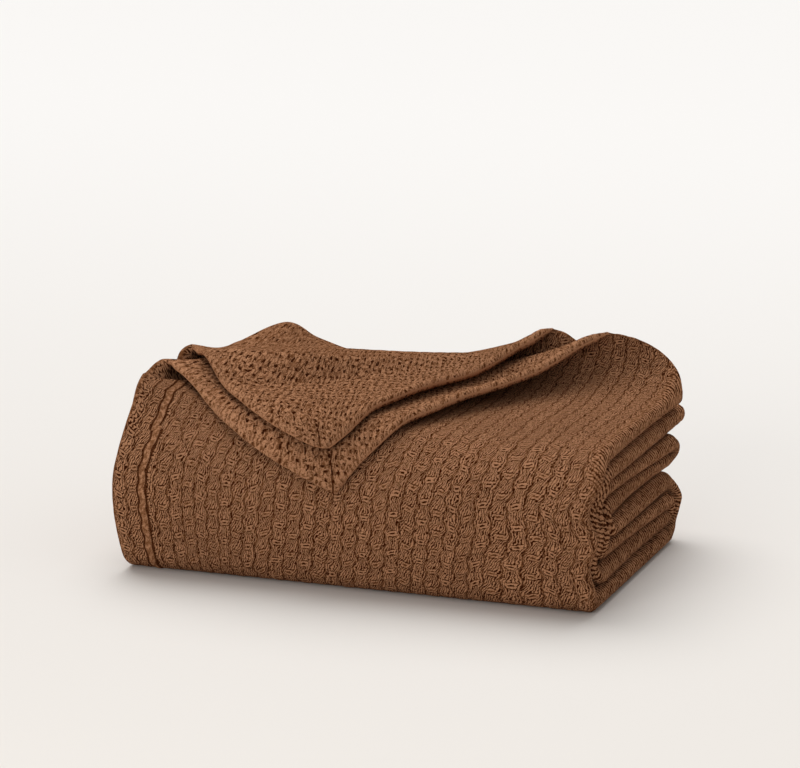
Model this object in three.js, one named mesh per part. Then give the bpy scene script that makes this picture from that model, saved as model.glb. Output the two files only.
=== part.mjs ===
// A crochet blanket folded into a stack, in millimetres, +Z up, standing on its bottom fold.
// The cloth is one sheet. It is folded in half twice across its width, which makes a band of four
// sheets, and the band is then folded in half three times along its length, which stacks it in eight
// levels. The two upper sheets of the top level have one corner turned over towards the front.
import * as THREE from "three";

// Driving dimensions
const FOLDED_WIDTH = 508;
const CLOTH_THICKNESS = 4.4;
const SHEET_PITCH = 4.9;
const INNER_FOLD_TUCK = 2.5;
const LEVEL_PITCH = 20.4;
const LEVELS_FROM_FLOOR = ["H", "G", "F", "E", "D", "C", "B", "A"];

// Where each level ends at the back, measured from the front of the stack to the middle of the band.
const BACK_END = { A: 314, B: 330, CD: 289, EH: 300, FG: 278 };

// Middle of each wall at the front, outermost wall first, with the bend radii at its top and bottom.
const OUTER_WALL_Y = 9.8;
const FRONT_WALL = {
  AH: { y: OUTER_WALL_Y, topRadius: 58, bottomRadius: 10.5 },
  BG: { y: OUTER_WALL_Y + LEVEL_PITCH, topRadius: 40, bottomRadius: 26 },
  CF: { y: OUTER_WALL_Y + 2 * LEVEL_PITCH, topRadius: 22, bottomRadius: 22 },
};
const TIGHT_RADIUS = LEVEL_PITCH / 2;
const INNER_FOLD_Y = OUTER_WALL_Y + 3 * LEVEL_PITCH + TIGHT_RADIUS;
const BACK_LOOP_RADIUS = 24;

// Rows of facets along each part of the route.
const ROWS = { run: 2, wall: 1, frontWall: 2, corner: 3, topCorner: 4, loop: 4 };

// Rows of facets along the top level: lying, rising to the turned edge, and turned over.
const TOP_ROWS = { lying: 3, rising: 7, turned: 11 };

// Stations across the two lower sheets, as shares of their width, and across an upper sheet between
// the end of its turned edge and the right fold.
const LOWER_STATIONS = [0, 0.33, 0.66, 1];
const DESCENT_STATIONS = [0.35, 0.65, 0.88, 1];
const FOLD_STEPS = { small: 3, large: 4 };

// The turned corner. Each table follows the upper edge of one turned sheet from the left hem to the
// end hem: the place across the flat cloth, the plan place, the height, how far the roll bulges
// behind that edge, and how far in front of it the sheet starts to rise.
const LOWER_FLAP = {
  sheet: 1,
  corner: { x: 240, y: -25 },
  edge: [
    { across: 0, x: -12, y: 140, z: 186, bulge: 8, foot: 45 },
    { across: 25, x: 18, y: 182, z: 181, bulge: 10, foot: 48 },
    { across: 50, x: 48, y: 206, z: 178, bulge: 12, foot: 50 },
    { across: 105, x: 108, y: 230, z: 176, bulge: 12, foot: 52 },
    { across: 160, x: 166, y: 246, z: 176, bulge: 12, foot: 55 },
    { across: 270, x: 274, y: 276, z: 177, bulge: 10, foot: 65 },
    { across: 318, x: 320, y: 288, z: 186, bulge: 8, foot: 72 },
    { across: 355, x: 356, y: 298, z: 198, bulge: 6, foot: 78 },
    { across: 390, x: 390, y: 309, z: 208, bulge: 8, foot: 86 },
    { across: 424, x: 424, y: 320, z: 214, bulge: 10, foot: 95 },
  ],
};
const UPPER_FLAP = {
  sheet: 2,
  corner: { x: 220, y: 6 },
  edge: [
    { across: 0, x: -11, y: 213, z: 187, bulge: 8, foot: 34 },
    { across: 25, x: 18, y: 234, z: 183, bulge: 12, foot: 36 },
    { across: 70, x: 72, y: 278, z: 205, bulge: 16, foot: 36 },
    { across: 102, x: 104, y: 290, z: 188, bulge: 16, foot: 36 },
    { across: 150, x: 152, y: 303, z: 172, bulge: 14, foot: 36 },
    { across: 240, x: 244, y: 318, z: 174, bulge: 12, foot: 36 },
    { across: 310, x: 312, y: 328, z: 190, bulge: 8, foot: 36 },
    { across: 335, x: 336, y: 332, z: 202, bulge: 6, foot: 36 },
    { across: 360, x: 357, y: 336, z: 209, bulge: 4, foot: 36 },
  ],
};

// The angle of the turned edges to the width, the height of each turned sheet over what it lies on,
// and the length over which the lower one comes down to it, besides its own height.
const FLAP_TURN = THREE.MathUtils.degToRad(22);
const FLAP_REST = 10.5;
const UPPER_OVER_LOWER = 10.5;
const FLAP_FALL = 58;

// How far up its height a sheet stands behind its turned edge, how far right of the end hem's highest
// point the upper flap's sheet lies flat, and how far in front of the end hem the rows are closer.
const RISE_STAND = 0.6;
const UPPER_DESCENT = 97;
const FLAT_FOOT = 95;

// Rows of a turned sheet are closer by its edge. The reach is longer than any of them.
const TURNED_SPACING = 1.3;
const LONGEST_REACH = 1000;

// Softness of the pile: how far the faces swell, and how the right end tilts and varies.
const FRONT_SWELL = { out: 13, depth: 130 };
const LEFT_SWELL = 14;
const RIGHT_END = { tilt: 1.5, wave: 5, waveHeight: 62, pull: 4, pullDepth: 95 };

const BROWN = 0x6f4a35;

const HALF_THICKNESS = CLOTH_THICKNESS / 2;
const STACK_TOP = LEVELS_FROM_FLOOR.length * LEVEL_PITCH;
const LARGE_FOLD_RADIUS = 1.5 * SHEET_PITCH;
const SMALL_FOLD_RADIUS = 0.5 * SHEET_PITCH;
const FLAT_RIGHT = FOLDED_WIDTH - LARGE_FOLD_RADIUS - HALF_THICKNESS;
const INNER_FLAT_RIGHT = FLAT_RIGHT - INNER_FOLD_TUCK;
const LEFT_FOLD_X = SMALL_FOLD_RADIUS + HALF_THICKNESS;
const [LEFT_SOFT_END, RIGHT_SOFT_START] = [LOWER_STATIONS[1], LOWER_STATIONS[2]].map(
  (share) => LEFT_FOLD_X + share * (FLAT_RIGHT - LEFT_FOLD_X),
);
const SHEET_OFFSET = {
  1: 1.5 * SHEET_PITCH,
  2: 0.5 * SHEET_PITCH,
  3: -0.5 * SHEET_PITCH,
  4: -1.5 * SHEET_PITCH,
};
const { smoothstep, lerp, clamp } = THREE.MathUtils;

const levelHeight = (name) => (LEVELS_FROM_FLOOR.indexOf(name) + 0.5) * LEVEL_PITCH;
const TOP_LEVEL = levelHeight("A");
const TOP_START = FRONT_WALL.AH.y + FRONT_WALL.AH.topRadius;

// The folded route of the band's middle, seen from its right end: y to the back, z up. Each row holds
// its place and its heading. It starts at the inner end in level B and stops where level A starts.
function foldRoute() {
  let y = BACK_END.B;
  let z = levelHeight("B");
  let heading = Math.PI;
  const rows = [{ y, z, heading }];
  const runTo = (target, count) => {
    const from = { y, z };
    for (let k = 1; k <= count; k++) {
      y = lerp(from.y, target.y ?? from.y, k / count);
      z = lerp(from.z, target.z ?? from.z, k / count);
      rows.push({ y, z, heading });
    }
  };
  const turn = (degrees, radius, count) => {
    const step = THREE.MathUtils.degToRad(degrees) / count;
    const side = Math.sign(degrees);
    for (let k = 0; k < count; k++) {
      const next = heading + step;
      y += side * radius * (Math.sin(next) - Math.sin(heading));
      z -= side * radius * (Math.cos(next) - Math.cos(heading));
      heading = next;
      rows.push({ y, z, heading });
    }
  };
  const { AH, BG, CF } = FRONT_WALL;

  // Level B, down the second wall, level G
  runTo({ y: BG.y + BG.topRadius }, ROWS.run);
  turn(90, BG.topRadius, ROWS.corner);
  runTo({ z: levelHeight("G") + BG.bottomRadius }, ROWS.wall);
  turn(90, BG.bottomRadius, ROWS.corner);
  runTo({ y: BACK_END.FG - TIGHT_RADIUS }, ROWS.run);
  turn(180, TIGHT_RADIUS, ROWS.loop);

  // Level F, up the third wall, level C
  runTo({ y: CF.y + CF.bottomRadius }, ROWS.run);
  turn(-90, CF.bottomRadius, ROWS.corner);
  runTo({ z: levelHeight("C") - CF.topRadius }, ROWS.wall);
  turn(-90, CF.topRadius, ROWS.corner);
  runTo({ y: BACK_END.CD - TIGHT_RADIUS }, ROWS.run);
  turn(-180, TIGHT_RADIUS, ROWS.loop);

  // Level D, the innermost fold, level E
  runTo({ y: INNER_FOLD_Y }, ROWS.run);
  turn(180, TIGHT_RADIUS, ROWS.loop);
  runTo({ y: BACK_END.EH - BACK_LOOP_RADIUS }, ROWS.run);

  // Down the back loop, level H on the floor, up the outer wall
  turn(-90, BACK_LOOP_RADIUS, ROWS.corner);
  runTo({ z: levelHeight("H") + BACK_LOOP_RADIUS }, ROWS.wall);
  turn(-90, BACK_LOOP_RADIUS, ROWS.corner);
  runTo({ y: AH.y + AH.bottomRadius }, ROWS.run);
  turn(-90, AH.bottomRadius, ROWS.corner);
  runTo({ z: TOP_LEVEL - AH.topRadius }, ROWS.frontWall);
  turn(-90, AH.topRadius, ROWS.topCorner);
  return rows;
}

// Places across an upper sheet: the rows of its flap's table, then the stretch to the right fold.
function flapStations({ edge }, right) {
  const crest = edge[edge.length - 1].across;
  const descent = DESCENT_STATIONS.map((share) => lerp(crest, right, share));
  return [...edge.map(({ across }) => across), ...descent];
}

// Places across the band, in the order of the unfolded cloth: sheet 2, 3, 4, then 1. Each has the
// place across x, the offset from the band's middle, the direction of the cloth's face there, and
// the flap that its sheet turns over in, if any.
function bandProfile() {
  const places = [];
  const lowerStations = (right) => LOWER_STATIONS.map((share) => lerp(LEFT_FOLD_X, right, share));
  const sheet = (number, stations, towardsRight, flap = null) => {
    const ordered = towardsRight ? stations : [...stations].reverse();
    const faceOut = towardsRight ? 1 : -1;
    ordered.forEach((x) => places.push({ x, offset: SHEET_OFFSET[number], faceX: 0, faceOut, flap }));
  };
  const fold = (centreX, centreOffset, radius, side, turnDirection, steps, upperFlap = null) => {
    const inward = turnDirection * side;
    for (let k = 1; k < steps; k++) {
      const angle = (Math.PI * k) / steps;
      const outX = side * Math.sin(angle);
      const outOffset = turnDirection * Math.cos(angle);
      places.push({
        x: centreX + radius * outX,
        offset: centreOffset + radius * outOffset,
        faceX: inward * outX,
        faceOut: inward * outOffset,
        flap: outOffset > 0 ? upperFlap : null,
      });
    }
  };
  sheet(2, flapStations(UPPER_FLAP, INNER_FLAT_RIGHT), true, UPPER_FLAP);
  fold(INNER_FLAT_RIGHT, 0, SMALL_FOLD_RADIUS, 1, 1, FOLD_STEPS.small);
  sheet(3, lowerStations(INNER_FLAT_RIGHT), false);
  fold(LEFT_FOLD_X, -SHEET_PITCH, SMALL_FOLD_RADIUS, -1, 1, FOLD_STEPS.small);
  sheet(4, lowerStations(FLAT_RIGHT), true);
  fold(FLAT_RIGHT, 0, LARGE_FOLD_RADIUS, 1, -1, FOLD_STEPS.large, LOWER_FLAP);
  sheet(1, flapStations(LOWER_FLAP, FLAT_RIGHT), false, LOWER_FLAP);
  return places;
}

// Smooth value of one column of a table at a place along its key column, level past either end.
function tableAt(rows, key, column, place) {
  const last = rows.length - 1;
  const found = rows.findIndex((row) => row[key] > place);
  const upper = found === -1 ? last : Math.max(found, 1);
  const [a, b] = [rows[upper - 1], rows[upper]];
  const before = rows[Math.max(upper - 2, 0)];
  const after = rows[Math.min(upper + 1, last)];
  const span = b[key] - a[key];
  const t = clamp((place - a[key]) / span, 0, 1);
  const slopeA = ((b[column] - before[column]) / (b[key] - before[key])) * span;
  const slopeB = ((after[column] - a[column]) / (after[key] - a[key])) * span;
  const t2 = t * t;
  const t3 = t2 * t;
  const fromEnds = (2 * t3 - 3 * t2 + 1) * a[column] + (3 * t2 - 2 * t3) * b[column];
  return fromEnds + (t3 - 2 * t2 + t) * slopeA + (t3 - t2) * slopeB;
}

// A point above the top level, given by its plan place and its height over the band's middle. Past
// the front of the level it follows the rounded edge and then the front wall.
function drape(x, y, height) {
  const radius = FRONT_WALL.AH.topRadius;
  const outside = radius + SHEET_OFFSET[1];
  const angle = (TOP_START - y) / outside;
  if (angle <= 0) return new THREE.Vector3(x, y, TOP_LEVEL + height);
  const bend = Math.min(angle, Math.PI / 2);
  const down = (angle - bend) * outside;
  return new THREE.Vector3(
    x,
    TOP_START - (radius + height) * Math.sin(bend),
    TOP_LEVEL - radius + (radius + height) * Math.cos(bend) - down,
  );
}

// Height of the lower turned sheet over the band's middle at a plan place: level behind its edge,
// then falling in a soft curve to where it rests.
function lowerFlapHeight(x, y) {
  const rest = SHEET_OFFSET[LOWER_FLAP.sheet] + FLAP_REST;
  const top = tableAt(LOWER_FLAP.edge, "x", "z", x) - TOP_LEVEL;
  const past = (tableAt(LOWER_FLAP.edge, "x", "y", x) - y) * Math.cos(FLAP_TURN);
  return lerp(top, rest, smoothstep(past, 0, FLAP_FALL + top - rest));
}

// Height of the upper turned sheet: it lies on the lower one, and behind that one's edge it goes to
// the height of its own edge.
function upperFlapHeight(x, y, edge) {
  const over = (px, py) => lowerFlapHeight(px, py) + UPPER_OVER_LOWER;
  const gap = (px, py) => py - tableAt(LOWER_FLAP.edge, "x", "y", px);
  const hump = edge.z - TOP_LEVEL - over(edge.x, edge.y);
  return over(x, y) + hump * smoothstep(gap(x, y), 0, gap(edge.x, edge.y));
}

// Places of the rows along the top level where it lies flat to its end.
const FLAT_ROWS = TOP_ROWS.lying + TOP_ROWS.rising;
function topRowY(k) {
  const foot = BACK_END.A - FLAT_FOOT;
  if (k <= TOP_ROWS.lying) return lerp(TOP_START, foot, k / TOP_ROWS.lying);
  return lerp(foot, BACK_END.A, (k - TOP_ROWS.lying) / TOP_ROWS.rising);
}

// The points that one place across a turned sheet runs through, from the front of the top level to
// its hem: lying, rising to the turned edge, and turned over as far as the end hem.
function flapPoints(flap, across, offset) {
  const endHem = flap.edge[flap.edge.length - 1];
  const share = Math.min(across / endHem.across, 1);
  const edge = {};
  for (const column of Object.keys(endHem)) {
    edge[column] = tableAt(flap.edge, "across", column, share * endHem.across);
  }
  const shift = across - edge.across;
  const end = {
    x: lerp(flap.corner.x, endHem.x, share),
    y: lerp(flap.corner.y, endHem.y, share),
  };
  const lying = TOP_LEVEL + SHEET_OFFSET[flap.sheet];
  const foot = new THREE.Vector3(edge.x, edge.y - edge.foot, lying);
  const crest = new THREE.Vector3(edge.x, edge.y, edge.z);
  const back = new THREE.Vector3(-Math.sin(FLAP_TURN), Math.cos(FLAP_TURN), 0);
  const high = crest.clone().addScaledVector(back, edge.bulge);
  high.setZ(lerp(lying, crest.z, RISE_STAND));
  const low = high.clone().setZ(lying);
  const rise = new THREE.CubicBezierCurve3(foot, low, high, crest);

  const points = [];
  for (let k = 1; k < TOP_ROWS.lying; k++) {
    const place = k / TOP_ROWS.lying;
    points.push(new THREE.Vector3(lerp(edge.across, foot.x, place), lerp(TOP_START, foot.y, place), lying));
  }
  for (let k = 0; k <= TOP_ROWS.rising; k++) points.push(rise.getPoint(k / TOP_ROWS.rising));
  const turnedRows = Math.round(TOP_ROWS.turned * (1 - share));
  for (let k = 1; k <= turnedRows; k++) {
    const place = (k / turnedRows) ** TURNED_SPACING;
    const x = lerp(edge.x, end.x, place);
    const y = lerp(edge.y, end.y, place);
    const height = flap === LOWER_FLAP ? lowerFlapHeight(x, y) : upperFlapHeight(x, y, edge);
    points.push(drape(x, y, height));
  }
  if (shift <= 0) return points;

  // Right of the end hem's highest point the sheet comes down: the lower flap's in a round that runs
  // into the right fold, the upper flap's to lie flat below it.
  const round = clamp(shift / (FLAT_RIGHT + LARGE_FOLD_RADIUS - endHem.across), 0, 1);
  const flatness =
    flap === LOWER_FLAP ? 1 - Math.sqrt(1 - round * round) : smoothstep(shift, 0, UPPER_DESCENT);
  return points.map((point, index) => {
    const flat = new THREE.Vector3(across, topRowY(index + 1), TOP_LEVEL + offset);
    return point.setX(point.x + shift).lerp(flat, flatness);
  });
}

// The middle surface of the cloth as columns of points, one for each place across the band, from the
// inner end of the route to the end hem. Each point has the direction of the cloth's face where the
// band is plain, and its place along the column, by which neighbouring columns are joined: its row,
// or how far forward it lies once the cloth is turned over.
function clothColumns() {
  const route = foldRoute();
  return bandProfile().map(({ x, offset, faceX, faceOut, flap }) => {
    const column = route.map(({ y, z, heading }) => {
      const normal = new THREE.Vector3(0, -Math.sin(heading), Math.cos(heading));
      return {
        point: new THREE.Vector3(x, y, z).addScaledVector(normal, offset),
        face: new THREE.Vector3(faceX, 0, 0).addScaledVector(normal, faceOut),
      };
    });
    if (flap) {
      flapPoints(flap, x, offset).forEach((point) => column.push({ point, face: null }));
    } else {
      for (let k = 1; k <= FLAT_ROWS; k++) {
        const point = new THREE.Vector3(x, topRowY(k), TOP_LEVEL + offset);
        column.push({ point, face: new THREE.Vector3(faceX, 0, faceOut) });
      }
    }
    const plainRows = route.length + FLAT_ROWS;
    column.forEach((entry, row) => {
      const { y, z } = entry.point;
      entry.place = row < plainRows ? row : plainRows - (y + z) / LONGEST_REACH;
    });
    return column;
  });
}

// Direction of the cloth's face at a row of a column, from its neighbours.
function faceFromNeighbours(columns, index, row) {
  const sumOfSteps = (before, here, after) => {
    const sum = new THREE.Vector3();
    if (before) sum.add(new THREE.Vector3().subVectors(here.point, before.point).normalize());
    if (after) sum.add(new THREE.Vector3().subVectors(after.point, here.point).normalize());
    return sum.normalize();
  };
  const inColumn = (column) => column && column[Math.min(row, column.length - 1)];
  const column = columns[index];
  const here = column[row];
  const across = sumOfSteps(inColumn(columns[index - 1]), here, inColumn(columns[index + 1]));
  const along = sumOfSteps(column[row - 1], here, column[row + 1]);
  return across.cross(along).normalize();
}

// The soft pile: the front and left faces swell between floor and top, and the right end is uneven.
// What lies on the floor stays level.
function soften(point) {
  const share = clamp((point.z - CLOTH_THICKNESS) / STACK_TOP, 0, 1);
  const belly = Math.sin(Math.PI * share);
  const nearFront = 1 - smoothstep(point.y, -FRONT_SWELL.out, FRONT_SWELL.depth);
  const nearLeft = Math.max(0, 1 - point.x / LEFT_SOFT_END);
  const nearRight = Math.max(0, (point.x - RIGHT_SOFT_START) / (FOLDED_WIDTH - RIGHT_SOFT_START));
  const tilt = Math.cos((Math.PI * point.y) / BACK_END.A);
  const wave = Math.sin((2 * Math.PI * point.z) / RIGHT_END.waveHeight + point.y / RIGHT_END.pullDepth);
  const pull = Math.sin(point.y / RIGHT_END.pullDepth);
  const uneven = RIGHT_END.wave * wave - RIGHT_END.pull * pull;
  return new THREE.Vector3(
    point.x + (nearRight * uneven - nearLeft * LEFT_SWELL) * belly,
    point.y - FRONT_SWELL.out * belly * nearFront,
    point.z + nearRight * RIGHT_END.tilt * tilt * belly,
  );
}

// The closed solid of the cloth: its two faces, half a thickness to each side of the columns, and its
// four edges.
function clothGeometry() {
  const columns = clothColumns();
  const points = [];
  const faceIndices = (side) =>
    columns.map((column, index) =>
      column.map(({ point, face }, row) => {
        const direction = face ?? faceFromNeighbours(columns, index, row);
        points.push(soften(point.clone().addScaledVector(direction, side * HALF_THICKNESS)));
        return points.length - 1;
      }),
    );
  const upper = faceIndices(1);
  const lower = faceIndices(-1);
  const indices = [];
  const quad = (a, b, c, d) => indices.push(a, b, c, a, c, d);

  for (let c = 0; c < columns.length - 1; c++) {
    const [here, next] = [columns[c], columns[c + 1]];
    let a = 0;
    let b = 0;
    while (a < here.length - 1 || b < next.length - 1) {
      const nextFirst = b < next.length - 1 && !(here[a + 1]?.place < next[b + 1].place);
      const [stepColumn, stepRow] = nextFirst ? [c + 1, b + 1] : [c, a + 1];
      indices.push(upper[c][a], upper[c + 1][b], upper[stepColumn][stepRow]);
      indices.push(lower[c][a], lower[stepColumn][stepRow], lower[c + 1][b]);
      if (nextFirst) b = stepRow;
      else a = stepRow;
    }
    quad(upper[c][0], lower[c][0], lower[c + 1][0], upper[c + 1][0]);
    quad(upper[c][a], upper[c + 1][b], lower[c + 1][b], lower[c][a]);
  }
  const last = columns.length - 1;
  for (let r = 0; r < columns[0].length - 1; r++) {
    quad(upper[0][r], upper[0][r + 1], lower[0][r + 1], lower[0][r]);
  }
  for (let r = 0; r < columns[last].length - 1; r++) {
    quad(upper[last][r], lower[last][r], lower[last][r + 1], upper[last][r + 1]);
  }
  return new THREE.BufferGeometry().setFromPoints(points).setIndex(indices);
}

// The blanket stands with the middle of its bottom at the origin.
function makeBlanket() {
  const geometry = clothGeometry();
  geometry.computeBoundingBox();
  const { min, max } = geometry.boundingBox;
  geometry.translate(-(min.x + max.x) / 2, -(min.y + max.y) / 2, -min.z);
  geometry.computeVertexNormals();
  const material = new THREE.MeshStandardMaterial({ color: BROWN, roughness: 0.95, metalness: 0 });
  const mesh = new THREE.Mesh(geometry, material);
  mesh.name = "blanket";
  return mesh;
}

const blanket = new THREE.Group();
blanket.add(makeBlanket());

export default blanket;
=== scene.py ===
"""Looks of a folded crochet blanket: its cloth at full detail, its weave, a floor, lights and a camera.

The cloth is one sheet, folded across its width into a band of four sheets, and the band is folded along
its length into eight levels. Its two upper sheets have one corner turned over towards the front. Sizes of
the cloth are in millimetres, in the fold's own frame: x from the left end, y from the front, z up.
"""

import logging
import math
from dataclasses import dataclass, field
from enum import Enum
from typing import ClassVar

import bpy
import numpy as np
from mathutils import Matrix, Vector


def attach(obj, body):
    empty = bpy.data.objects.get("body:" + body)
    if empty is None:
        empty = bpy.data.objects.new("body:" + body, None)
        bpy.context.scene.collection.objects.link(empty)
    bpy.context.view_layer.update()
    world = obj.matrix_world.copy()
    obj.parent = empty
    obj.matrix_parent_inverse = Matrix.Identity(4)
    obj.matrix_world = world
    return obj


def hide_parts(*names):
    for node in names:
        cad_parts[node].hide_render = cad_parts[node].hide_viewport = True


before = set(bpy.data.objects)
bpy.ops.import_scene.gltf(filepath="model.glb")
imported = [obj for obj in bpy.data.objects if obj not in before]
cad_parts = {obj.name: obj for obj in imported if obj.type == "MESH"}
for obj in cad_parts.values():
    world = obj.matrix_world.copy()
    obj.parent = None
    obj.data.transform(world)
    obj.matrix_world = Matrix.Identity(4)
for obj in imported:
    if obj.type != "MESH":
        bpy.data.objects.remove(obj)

LOG = logging.getLogger("blanket")
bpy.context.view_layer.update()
MM = 0.001
SAME = 1e-6
Array = np.ndarray
Pair = tuple[float, float]
Colour = tuple[float, float, float, float]


class Side(Enum):
    """The two faces of the cloth. The face is the outer skin of the folded band."""

    FACE = -1.0
    REVERSE = 1.0


class Zone(Enum):
    """How closely a stretch of the fold is seen. The value is the spacing of its rows."""

    HIDDEN = 9.0
    BACK = 4.6
    FRONT = 2.6


class Part(Enum):
    """The parts of the band in the order of the unfolded cloth."""

    SHEET_2 = 0
    INNER_RIGHT_FOLD = 1
    SHEET_3 = 2
    LEFT_FOLD = 3
    SHEET_4 = 4
    RIGHT_FOLD = 5
    SHEET_1 = 6


def smoothstep(value: Array, low: float | Array, high: float | Array) -> Array:
    """Soft step from 0 at low to 1 at high."""
    share = np.clip((value - low) / (high - low), 0.0, 1.0)
    return share * share * (3.0 - 2.0 * share)


def lerp(a: Array, b: Array, share: Array) -> Array:
    """Value between a and b at a share of the way."""
    return a + (b - a) * share


def smooth_at(keys: Array, values: Array, place: Array) -> Array:
    """Smooth values between the rows of a table, level past its ends.

    Args:
        keys: places of the rows, rising.
        values: values of the rows.
        place: places to read at.

    Returns:
        The values there.
    """
    last = len(keys) - 1
    upper = np.clip(np.searchsorted(keys, place, side="right"), 1, last)
    lower = upper - 1
    before, after = np.maximum(lower - 1, 0), np.minimum(upper + 1, last)
    span = keys[upper] - keys[lower]
    t = np.clip((place - keys[lower]) / span, 0.0, 1.0)
    slope_a = (values[upper] - values[before]) / (keys[upper] - keys[before]) * span
    slope_b = (values[after] - values[lower]) / (keys[after] - keys[lower]) * span
    t2, t3 = t * t, t * t * t
    ends = (2 * t3 - 3 * t2 + 1) * values[lower] + (3 * t2 - 2 * t3) * values[upper]
    return ends + (t3 - 2 * t2 + t) * slope_a + (t3 - t2) * slope_b


def add_object(name: str, data: bpy.types.ID) -> bpy.types.Object:
    """Adds an object to the scene, at the origin.

    Args:
        name: its name.
        data: its mesh, light or camera.

    Returns:
        The new object.
    """
    made = bpy.data.objects.new(name, data)
    bpy.context.scene.collection.objects.link(made)
    return made


@dataclass(frozen=True)
class FoldSizes:
    """Driving sizes of the fold. Its levels are named A to H from the top down.

    Attributes:
        sheet_pitch: distance between two sheets of the band.
        inner_fold_tuck: how far the inner right fold lies inside the outer one.
        back_end_a to back_end_fg: where the levels of those names end at the back.
        outer_radii, second_radii, third_radii: roundings at the top and foot of the walls, from the front.
        back_loop_radius: rounding of the large loop at the back.
        lower_stations: shares of the width where a sheet that lies flat has places.
        flat_foot: length of the last stretch of the top level, which rises where a corner is turned.
        origin: the part's origin in the fold's frame.
    """

    folded_width: float = 508.0
    thickness: float = 4.4
    sheet_pitch: float = 4.9
    inner_fold_tuck: float = 2.5
    level_pitch: float = 20.4
    levels_from_floor: str = "HGFEDCBA"
    back_end_a: float = 314.0
    back_end_b: float = 330.0
    back_end_cd: float = 289.0
    back_end_eh: float = 300.0
    back_end_fg: float = 278.0
    outer_wall_y: float = 9.8
    outer_radii: Pair = (58.0, 10.5)
    second_radii: Pair = (40.0, 26.0)
    third_radii: Pair = (22.0, 22.0)
    back_loop_radius: float = 24.0
    lower_stations: tuple[float, ...] = (0.0, 0.33, 0.66, 1.0)
    flat_foot: float = 95.0
    origin: tuple[float, float, float] = (247.80, 159.19, 0.65)

    @property
    def half(self) -> float:
        """Half the thickness of the cloth."""
        return self.thickness / 2

    @property
    def large_radius(self) -> float:
        """Radius of the middle of the outer right fold."""
        return 1.5 * self.sheet_pitch

    @property
    def small_radius(self) -> float:
        """Radius of the middle of the two inner folds."""
        return 0.5 * self.sheet_pitch

    @property
    def flat_right(self) -> float:
        """Where the outer right fold starts."""
        return self.folded_width - self.large_radius - self.half

    @property
    def inner_flat_right(self) -> float:
        """Where the inner right fold starts."""
        return self.flat_right - self.inner_fold_tuck

    @property
    def left_fold_x(self) -> float:
        """Where the left fold starts."""
        return self.small_radius + self.half

    @property
    def tight_radius(self) -> float:
        """Radius of a fold between two neighbouring levels."""
        return self.level_pitch / 2

    @property
    def stack_top(self) -> float:
        """Height of all the levels."""
        return len(self.levels_from_floor) * self.level_pitch

    @property
    def top_start(self) -> float:
        """Where the top level starts behind the front rounding."""
        return self.outer_wall_y + self.outer_radii[0]

    def level(self, name: str) -> float:
        """Height of the middle of a level."""
        return (self.levels_from_floor.index(name) + 0.5) * self.level_pitch

    def offset(self, sheet: int) -> float:
        """Distance of a sheet from the middle of the band."""
        return (2.5 - sheet) * self.sheet_pitch

    def stations(self, right: float) -> Array:
        """Few places across a sheet that lies flat, with the ends of the soft swells among them."""
        return lerp(self.left_fold_x, right, np.array(self.lower_stations))


SIZES = FoldSizes()


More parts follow.
